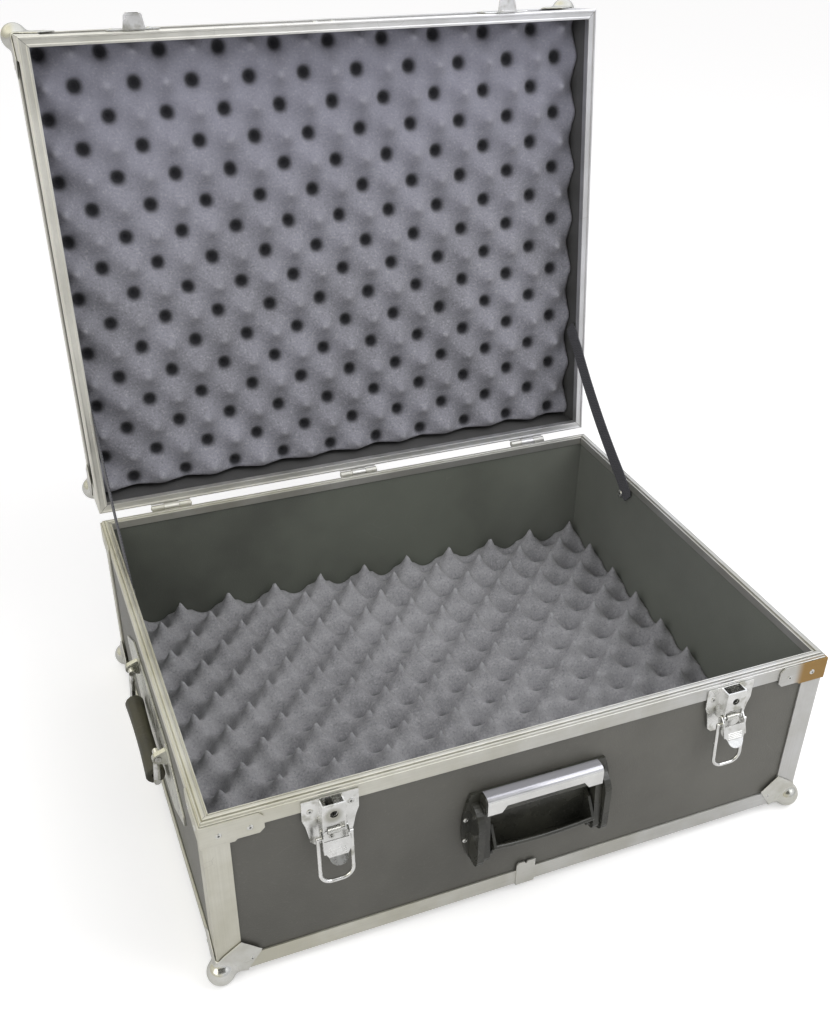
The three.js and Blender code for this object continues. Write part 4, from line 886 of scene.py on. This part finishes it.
beside_latches = [x + dx for x in LATCHES.values() for dx in (-0.0165, 0.0165)]
RIVETS = {
    "base": [
        *on_front([(x, 0.1590) for x in beside_latches], 0.0029),
        *on_front([(x, 0.1265) for x in LATCHES.values()], 0.0024),
        *at_corners((0.013, 0.037), 0.1600, 0.0026),
        *at_corners((CAP_RIVET,), 0.0125, 0.0019),
        *on_sides([(s * HALF_DEPTH * 0.31, z) for s in BOTH for z in (0.0570, 0.1190)], 0.0026),
        *on_sides([(s * 0.1230, 0.0880) for s in BOTH], 0.0026),
        *on_front([(x, z) for x in (-0.0655, 0.0655) for z in (0.0760, 0.1000)], 0.0024),
        *[((s * STAY_RIVET[0], *STAY_RIVET[1:]), (-s, 0, 0), 0.0042) for s in BOTH],
    ],
    "lid": [
        *on_front([(x, 0.1971) for x in beside_latches], 0.0026),
        *at_corners((CAP_RIVET,), 0.2331, 0.0019),
        *on_front([(-0.012, 0.1860), (0.005, 0.1860)], 0.0030, out=0),
    ],
}
rivet_steel, tree = new_material("rolled rivet heads")
place = case_place(tree)
# Painted shade: the dimple in each head is darkened where the rivet's hollow would be in shade.
painted_hollow_shade = node(tree, "ShaderNodeAttribute", attribute_name="painted_hollow_shade").outputs["Fac"]
tone = cloudy(tree, place, ("c9c9c4", "dededb"), 90.0)
colour = blended(tree, painted_hollow_shade, tone["Color"], linear("2a2a27"))
rough = gloss(tree, tone, 0.2, 0.34)
surface(tree, colour, rough, tone["Cloud"], 0.1, 0.0001, Metallic=0.95)

RIVET_SIDES, RIVET_ROWS = 18, 14
RIVET_RISE, RIVET_DIMPLE, RIVET_FOOT = 0.34, 0.3, 0.12


def stamped(tree, geometry, name, value):
    """Geometry with a number kept on its points under a name."""
    kept = node(tree, "GeometryNodeStoreNamedAttribute", data_type="FLOAT", domain="POINT")
    plugged(tree, kept, {"Geometry": geometry, "Name": name, "Value": value})
    return kept.outputs[0]


def carried(tree, name, kind):
    """What the points carry under a name."""
    made = node(tree, "GeometryNodeInputNamedAttribute", data_type=kind)
    return plugged(tree, made, {"Name": name}).outputs["Attribute"]


rivet_tree, enter, leave = shape_tree("rolled rivets", {"Rise": FLOAT, "Dimple": FLOAT})
blank = node(rivet_tree, "GeometryNodeMeshUVSphere", RIVET_SIDES, RIVET_ROWS, 1.0).outputs[0]
at = node(rivet_tree, "GeometryNodeInputPosition").outputs[0]
apart = parts(rivet_tree, at)
radius = vector(rivet_tree, "LENGTH", vector(rivet_tree, "MULTIPLY", at, (1, 1, 0)))
crown = number(rivet_tree, "SUBTRACT", 1.0, number(rivet_tree, "POWER", radius, 3.0))
pit = span(rivet_tree, radius, 0.42, 0.22)
sunk = number(rivet_tree, "MULTIPLY", pit, enter["Dimple"])
profile = number(
    rivet_tree, "SUBTRACT", number(rivet_tree, "MULTIPLY", crown, enter["Rise"]), sunk
)
above = number(rivet_tree, "GREATER_THAN", apart[2], -0.001)
height = number(
    rivet_tree, "ADD",
    number(rivet_tree, "MULTIPLY", profile, above),
    number(rivet_tree, "MULTIPLY", number(rivet_tree, "SUBTRACT", above, 1.0), RIVET_FOOT),
)
moved = node(rivet_tree, "ShaderNodeCombineXYZ", apart[0], apart[1], height).outputs[0]
formed = node(rivet_tree, "GeometryNodeSetPosition", blank, None, moved).outputs[0]
outward = carried(rivet_tree, "outward", "FLOAT_VECTOR")
turned = node(rivet_tree, "FunctionNodeAlignRotationToVector", axis="Z")
plugged(rivet_tree, turned, {"Vector": outward})
spread = plugged(rivet_tree, node(rivet_tree, "GeometryNodeInstanceOnPoints"), {
    "Points": enter["Geometry"],
    "Instance": stamped(rivet_tree, formed, "painted_hollow_shade", number(rivet_tree, "MULTIPLY", pit, above)),
    "Rotation": turned.outputs[0],
    "Scale": carried(rivet_tree, "size", "FLOAT"),
})
close_tree(rivet_tree, leave, spread.outputs[0], rivet_steel)
for body, rivets in RIVETS.items():
    points = bpy.data.meshes.new(f"rivets of the {body}")
    points.from_pydata([place for place, way, radius in rivets], [], [])
    ways = points.attributes.new("outward", "FLOAT_VECTOR", "POINT")
    ways.data.foreach_set("vector", [part for place, way, radius in rivets for part in way])
    radii = points.attributes.new("size", "FLOAT", "POINT")
    radii.data.foreach_set("value", [radius for place, way, radius in rivets])
    shape = {"Rise": RIVET_RISE, "Dimple": RIVET_DIMPLE}
    heads = grown(f"rivets_{body}", points, rivet_tree, shape)
    settle = Matrix.Translation(CASE_ORIGIN)
    heads.transform(swung_open @ settle if body == "lid" else settle)
    new_piece(f"rivet_heads_{body}", heads, rivet_steel, body)


# Front handle: a moulded black base with ears and a finger scoop, a grip on two pins, and a
# pressed steel cover snapped over the grip, bright on its front; its top carries a painted
# reflection of the dusky room, greyer and less metallic.
def moulded(name, tones, low, high, grain):
    """Black moulded plastic or rubber with a fine grain, smudges and a little dust."""
    material, tree = new_material(name)
    place = case_place(tree)
    tone = cloudy(tree, place, tones, 28.0)
    worn = use(tree, scuffed, Place=place, Amount=0.7)
    colour = marked(tree, tone["Color"], worn["Scratch"], 0.3, "75756c")
    colour = marked(tree, colour, worn["Dust"], 0.15, "9a9a90")
    rough = gloss(tree, tone, low, high)
    height = use(tree, grained, Place=place, Scale=grain)["Height"]
    surface(tree, colour, rough, height, 0.2, 0.0003)
    return material


black_plastic = moulded("black moulded plastic", ("2b2b27", "3c3c35"), 0.2, 0.34, 1100.0)
black_rubber = moulded("black grip rubber", ("302f26", "434133"), 0.4, 0.6, 1500.0)
dress("front_handle_base", black_plastic, 0.0008, 3)
dress("front_handle_grip", black_plastic, 0.0008, 3)
cover_steel, tree = new_material("pressed cover")
place = case_place(tree)
upward = parts(tree, case_facing(tree))[2]
tone = cloudy(tree, place, ("d8d8d6", "ececea"), 30.0)
worn = use(tree, scuffed, Place=place, Amount=0.8)
# Painted reflection: faces that look up are greyed and made less metallic.
painted_dusk_reflection = span(tree, upward, 0.3, 0.9)
colour = blended(tree, painted_dusk_reflection, tone["Color"], linear("b4b4ba"))
colour = marked(tree, colour, worn["Scratch"], 0.4, "77777a")
rough = gloss(tree, tone, 0.16, 0.28)
metal = number(tree, "MULTIPLY_ADD", painted_dusk_reflection, -0.6, 1.0)
surface(tree, colour, rough, tone["Cloud"], 0.08, 0.0001, Metallic=metal)
dress("front_handle_cover", cover_steel, 0.0003)


# Side handles: a plated plate let into the side, a steel bail in its lugs and a waisted rubber
# grip that is moulded on the bail.
for side in ("left", "right"):
    dress(f"side_handle_plate_{side}", satin_plate, 0.0004)
    dress(f"side_handle_bail_{side}", bright_plate, 0.0004)
    pressed(f"side_handle_grip_{side}", black_rubber, 0.0011, 4)


# Foam: grey open-cell foam cut by rollers into an egg-crate of peaks and deep round hollows,
# trimmed with a knife to the inside of each half and laid in, its cut edges left raw.
FOAM_STEP = 0.0026
FOAM_LAYERS = 8
FOAM_FLOOR = 0.0078
FOAM_UNEVEN = 0.004
FOAMS = {
    "base": {
        "low": (-0.2715, -0.2155), "high": (0.2715, 0.2155), "thick": 0.062, "wave": 0.044,
        "peak": (0.261, 0.206), "pitch": (0.0527, 0.0527), "power": (1.7, 0.8),
    },
    "lid": {
        "low": (-0.2715, -0.2150), "high": (0.2713, 0.2115), "thick": 0.047, "wave": 0.030,
        "peak": (0.0077, -0.1794), "pitch": (0.0541, 0.0547), "power": (1.2, 1.35),
    },
}
FOAM_SOCKETS = {
    "Size": VECTOR,
    "Columns": "NodeSocketInt",
    "Rows": "NodeSocketInt",
    "Peak": VECTOR,
    "Pitch": VECTOR,
    "Wave": FLOAT,
    "Peak power": FLOAT,
    "Hollow power": FLOAT,
    "Unevenness": FLOAT,
}


def foam_material(name, tones, pit, painted_shade_reach, painted_cool_light, on_lid):
    """Open-cell foam: matt and porous, with painted highlights on its peaks, painted shade almost
    black in its hollows, and painted light that pales and blues the lid's foam towards its front
    edge.
    """
    material, tree = new_material(name)
    place = case_place(tree, on_lid)
    depth = node(tree, "ShaderNodeAttribute", attribute_name="depth").outputs["Fac"]
    tone = cloudy(tree, place, tones, 11.0)
    pores = node(tree, "ShaderNodeTexVoronoi", place, None, 1100.0, 2.0).outputs["Distance"]
    coarse = node(tree, "ShaderNodeTexNoise", place, None, 430.0, 3.0, 0.75).outputs[0]
    pale = span(tree, coarse, 0.52, 0.7, 0.0, 0.4)
    dim = span(tree, coarse, 0.48, 0.3, 0.0, 0.4)
    mottled = blended(tree, pale, tone["Color"], linear("c9c9cc"))
    mottled = blended(tree, dim, mottled, linear("4e4e52"))
    ahead = parts(tree, place)[1]
    # Painted light: on the lid the foam grows paler and bluer towards its front edge, the top when
    # open.
    mottled = blended(tree, span(tree, ahead, 0.05, -0.2, 0.0, painted_cool_light), mottled, linear("9494a4"))
    speck = blended(tree, span(tree, pores, 0.25, 0.05, 0.0, 0.35), mottled, linear(pit))
    # Painted shade: the foam darkens to almost black down its hollows.
    sunk = blended(tree, span(tree, depth, *painted_shade_reach), speck, linear(pit))
    # Painted highlight: the tops of the peaks are made paler.
    peak = span(tree, depth, -0.5, -1.0, 0.0, 0.2)
    colour = blended(tree, peak, sunk, linear("bcbcc0"))
    surface(tree, colour, 0.95, pores, 0.55, 0.0006, Specular_IOR_Level=0.2, Sheen_Weight=0.15)
    return material


foam_materials = {
    "base": foam_material(
        "grey foam of the base", ("939396", "a3a3a6"), "202022", (0.5, 1.0, 0.0, 0.6), 0.0, False
    ),
    "lid": foam_material(
        "grey foam of the lid", ("88888f", "9898a1"), "19191c", (0.18, 0.6, 0.0, 0.93), 0.5, True
    ),
}

foam_tree, enter, leave = shape_tree("egg-crate foam", FOAM_SOCKETS)
block = node(
    foam_tree, "GeometryNodeMeshCube", enter["Size"], enter["Columns"], enter["Rows"], FOAM_LAYERS
)
at = node(foam_tree, "GeometryNodeInputPosition").outputs[0]
rough_edge = node(foam_tree, "ShaderNodeTexNoise", at, None, 17.0, 2.0, 0.5)
shaken = node(
    foam_tree, "ShaderNodeVectorMath", rough_edge.outputs[1], (0.5, 0.5, 0.5), operation="SUBTRACT"
).outputs[0]
wander = node(foam_tree, "ShaderNodeCombineXYZ", enter["Unevenness"], enter["Unevenness"], 0.0)
drift = vector(foam_tree, "MULTIPLY", shaken, wander.outputs[0])
across = vector(foam_tree, "SUBTRACT", vector(foam_tree, "ADD", at, drift), enter["Peak"])
apart = parts(foam_tree, across)
pitch = parts(foam_tree, enter["Pitch"])
across_turn, along_turn = [
    number(foam_tree, "MULTIPLY", number(foam_tree, "DIVIDE", apart[i], pitch[i]), 2 * math.pi)
    for i in (0, 1)
]
wave = number(
    foam_tree, "MULTIPLY",
    number(foam_tree, "COSINE", across_turn),
    number(foam_tree, "COSINE", along_turn),
)
swell = number(
    foam_tree, "MULTIPLY",
    number(foam_tree, "ARCSINE", number(foam_tree, "ABSOLUTE", wave)),
    2 / math.pi,
)
rising = number(foam_tree, "GREATER_THAN", wave, 0.0)
peaks = number(
    foam_tree, "MULTIPLY", number(foam_tree, "POWER", swell, enter["Peak power"]), rising
)
hollows = number(
    foam_tree, "MULTIPLY",
    number(foam_tree, "POWER", swell, enter["Hollow power"]),
    number(foam_tree, "SUBTRACT", 1.0, rising),
)
shaped = number(foam_tree, "SUBTRACT", peaks, hollows)
thick = parts(foam_tree, enter["Size"])[2]
lower = number(
    foam_tree, "MULTIPLY",
    number(foam_tree, "SUBTRACT", 1.0, shaped),
    number(foam_tree, "MULTIPLY", enter["Wave"], 0.5),
)
crest = number(foam_tree, "SUBTRACT", thick, lower)
low_high = parts(foam_tree, at)
share = number(foam_tree, "ADD", number(foam_tree, "DIVIDE", low_high[2], thick), 0.5)
risen = number(foam_tree, "MULTIPLY", share, crest)
moved = node(foam_tree, "ShaderNodeCombineXYZ", low_high[0], low_high[1], risen).outputs[0]
formed = node(foam_tree, "GeometryNodeSetPosition", block.outputs[0], None, moved).outputs[0]
stored = stamped(foam_tree, formed, "depth", number(foam_tree, "MULTIPLY", shaped, -1.0))
close_tree(foam_tree, leave, stored, foam_materials["base"])

for body, foam in FOAMS.items():
    (left, near), (right, far) = foam["low"], foam["high"]
    middle = Vector(((left + right) / 2, (near + far) / 2, 0))
    made = grown(
        f"foam_{body}",
        bpy.data.meshes.new("foam"),
        foam_tree,
        {
            "Size": (right - left, far - near, foam["thick"]),
            "Columns": round((right - left) / FOAM_STEP),
            "Rows": round((far - near) / FOAM_STEP),
            "Peak": Vector((*foam["peak"], 0)) - middle,
            "Pitch": (*foam["pitch"], 1.0),
            "Wave": foam["wave"],
            "Peak power": foam["power"][0],
            "Hollow power": foam["power"][1],
            "Unevenness": FOAM_UNEVEN,
        },
    )
    made.transform(Matrix.Translation(middle))
    if body == "lid":
        top = BASE_TALL + LID_GAP + LID_TALL - FOAM_FLOOR
        turned_over = Matrix.Translation((0, 0, top)) @ Matrix.Diagonal((1, 1, -1, 1))
        made.transform(swung_open @ Matrix.Translation(CASE_ORIGIN) @ turned_over)
        made.flip_normals()
    else:
        made.transform(Matrix.Translation(CASE_ORIGIN + Vector((0, 0, FOAM_FLOOR))))
    piece = new_piece(f"egg_crate_foam_{body}", made, foam_materials[body], body)
    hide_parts(f"{body}_foam")


# Stays: two straps of grey polyester webbing that stop the lid, riveted inside the side walls of
# the base and of the lid. Each hangs in a shallow curve between its rivets, edge up.
STAY_WIDTH, STAY_THICK, STAY_NIB = 0.020, 0.0012, 0.0003
STAY_IN = 0.2695
STAY_CLEAR = 0.00025
STAY_SAG = 0.0045
STAY_HELD = 0.030
STAY_PINCH = 0.75
STAY_STEPS = 48
BASE_END, LID_END = HALF_DEPTH - 0.100, HALF_DEPTH - 0.097
RIB, CHEVRON, CHEVRON_WIDE = 0.0016, 0.0032, 0.0035
webbing, tree = new_material("grey polyester webbing")
woven = node(tree, "ShaderNodeUVMap", uv_map="along the strap").outputs[0]
apart = parts(tree, woven)
ribs = number(tree, "SINE", number(tree, "MULTIPLY", apart[1], 2 * math.pi / RIB))
folded = number(tree, "PINGPONG", apart[0], CHEVRON_WIDE)
slant = number(tree, "MULTIPLY", number(tree, "ADD", apart[1], folded), 2 * math.pi / CHEVRON)
chevron = number(tree, "SINE", slant)
weave = number(tree, "MULTIPLY_ADD", ribs, 0.5, chevron)
share = span(tree, weave, -1.2, 1.2)
colour = blended(tree, share, linear("3e3e42"), linear("5e5e63"))
fuzz = node(tree, "ShaderNodeTexNoise", woven, None, 2500.0, 2.0, 0.6).outputs[0]
colour = blended(tree, span(tree, fuzz, 0.55, 0.8, 0.0, 0.3), colour, linear("6a6a6e"))
surface(tree, colour, 0.85, share, 0.6, 0.0004, Specular_IOR_Level=0.3, Sheen_Weight=0.1)
strap_start = Vector((0, BASE_END, BASE_TALL))
lid_end = Vector((0, LID_END, BASE_TALL + LID_GAP))
strap_end = swung_open @ (CASE_ORIGIN + lid_end) - CASE_ORIGIN
along = (strap_end - strap_start).normalized()
across = Vector((0, -along.z, along.y))
first = strap_start - along * STAY_HELD
last = strap_end + along * STAY_HELD
half_w, half_t = STAY_WIDTH / 2, STAY_THICK / 2
outline = [
    (-half_w, -half_t + STAY_NIB), (-half_w + STAY_NIB, -half_t),
    (half_w - STAY_NIB, -half_t), (half_w, -half_t + STAY_NIB),
    (half_w, half_t - STAY_NIB), (half_w - STAY_NIB, half_t),
    (-half_w + STAY_NIB, half_t), (-half_w, half_t - STAY_NIB),
]
long = (last - first).length
for side, sign in (("left", -1), ("right", 1)):
    mesh = bmesh.new()
    uv = mesh.loops.layers.uv.new("along the strap")
    rings = []
    for i in range(STAY_STEPS + 1):
        share = i / STAY_STEPS
        free = max(0.0, min(1.0, (share * long - STAY_HELD) / (long - 2 * STAY_HELD)))
        sag = -STAY_SAG * 4 * free * (1 - free)
        centre = CASE_ORIGIN + first.lerp(last, share) + across * sag
        wide = STAY_PINCH if i in (0, STAY_STEPS) else 1
        rings.append(ring(mesh, [
            centre + across * (w * wide)
            + Vector((sign * (STAY_IN + half_t + STAY_CLEAR + t), 0, 0))
            for w, t in outline
        ]))
    for i, (one, two) in enumerate(zip(rings, rings[1:])):
        for k in range(len(outline)):
            j = (k + 1) % len(outline)
            face = mesh.faces.new((one[k], one[j], two[j], two[k]))
            for loop, (u, v) in zip(face.loops, ((k, i), (j, i), (j, i + 1), (k, i + 1))):
                loop[uv].uv = (outline[u][0] + half_w, v * long / STAY_STEPS)
    mesh.faces.new(list(reversed(rings[0])))
    mesh.faces.new(rings[-1])
    made = finished(mesh, f"stay {side}")
    made.materials.append(webbing)
    strap = put(f"webbing_stay_{side}", made)
    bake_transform(strap)
    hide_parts(f"stay_strap_{side}")
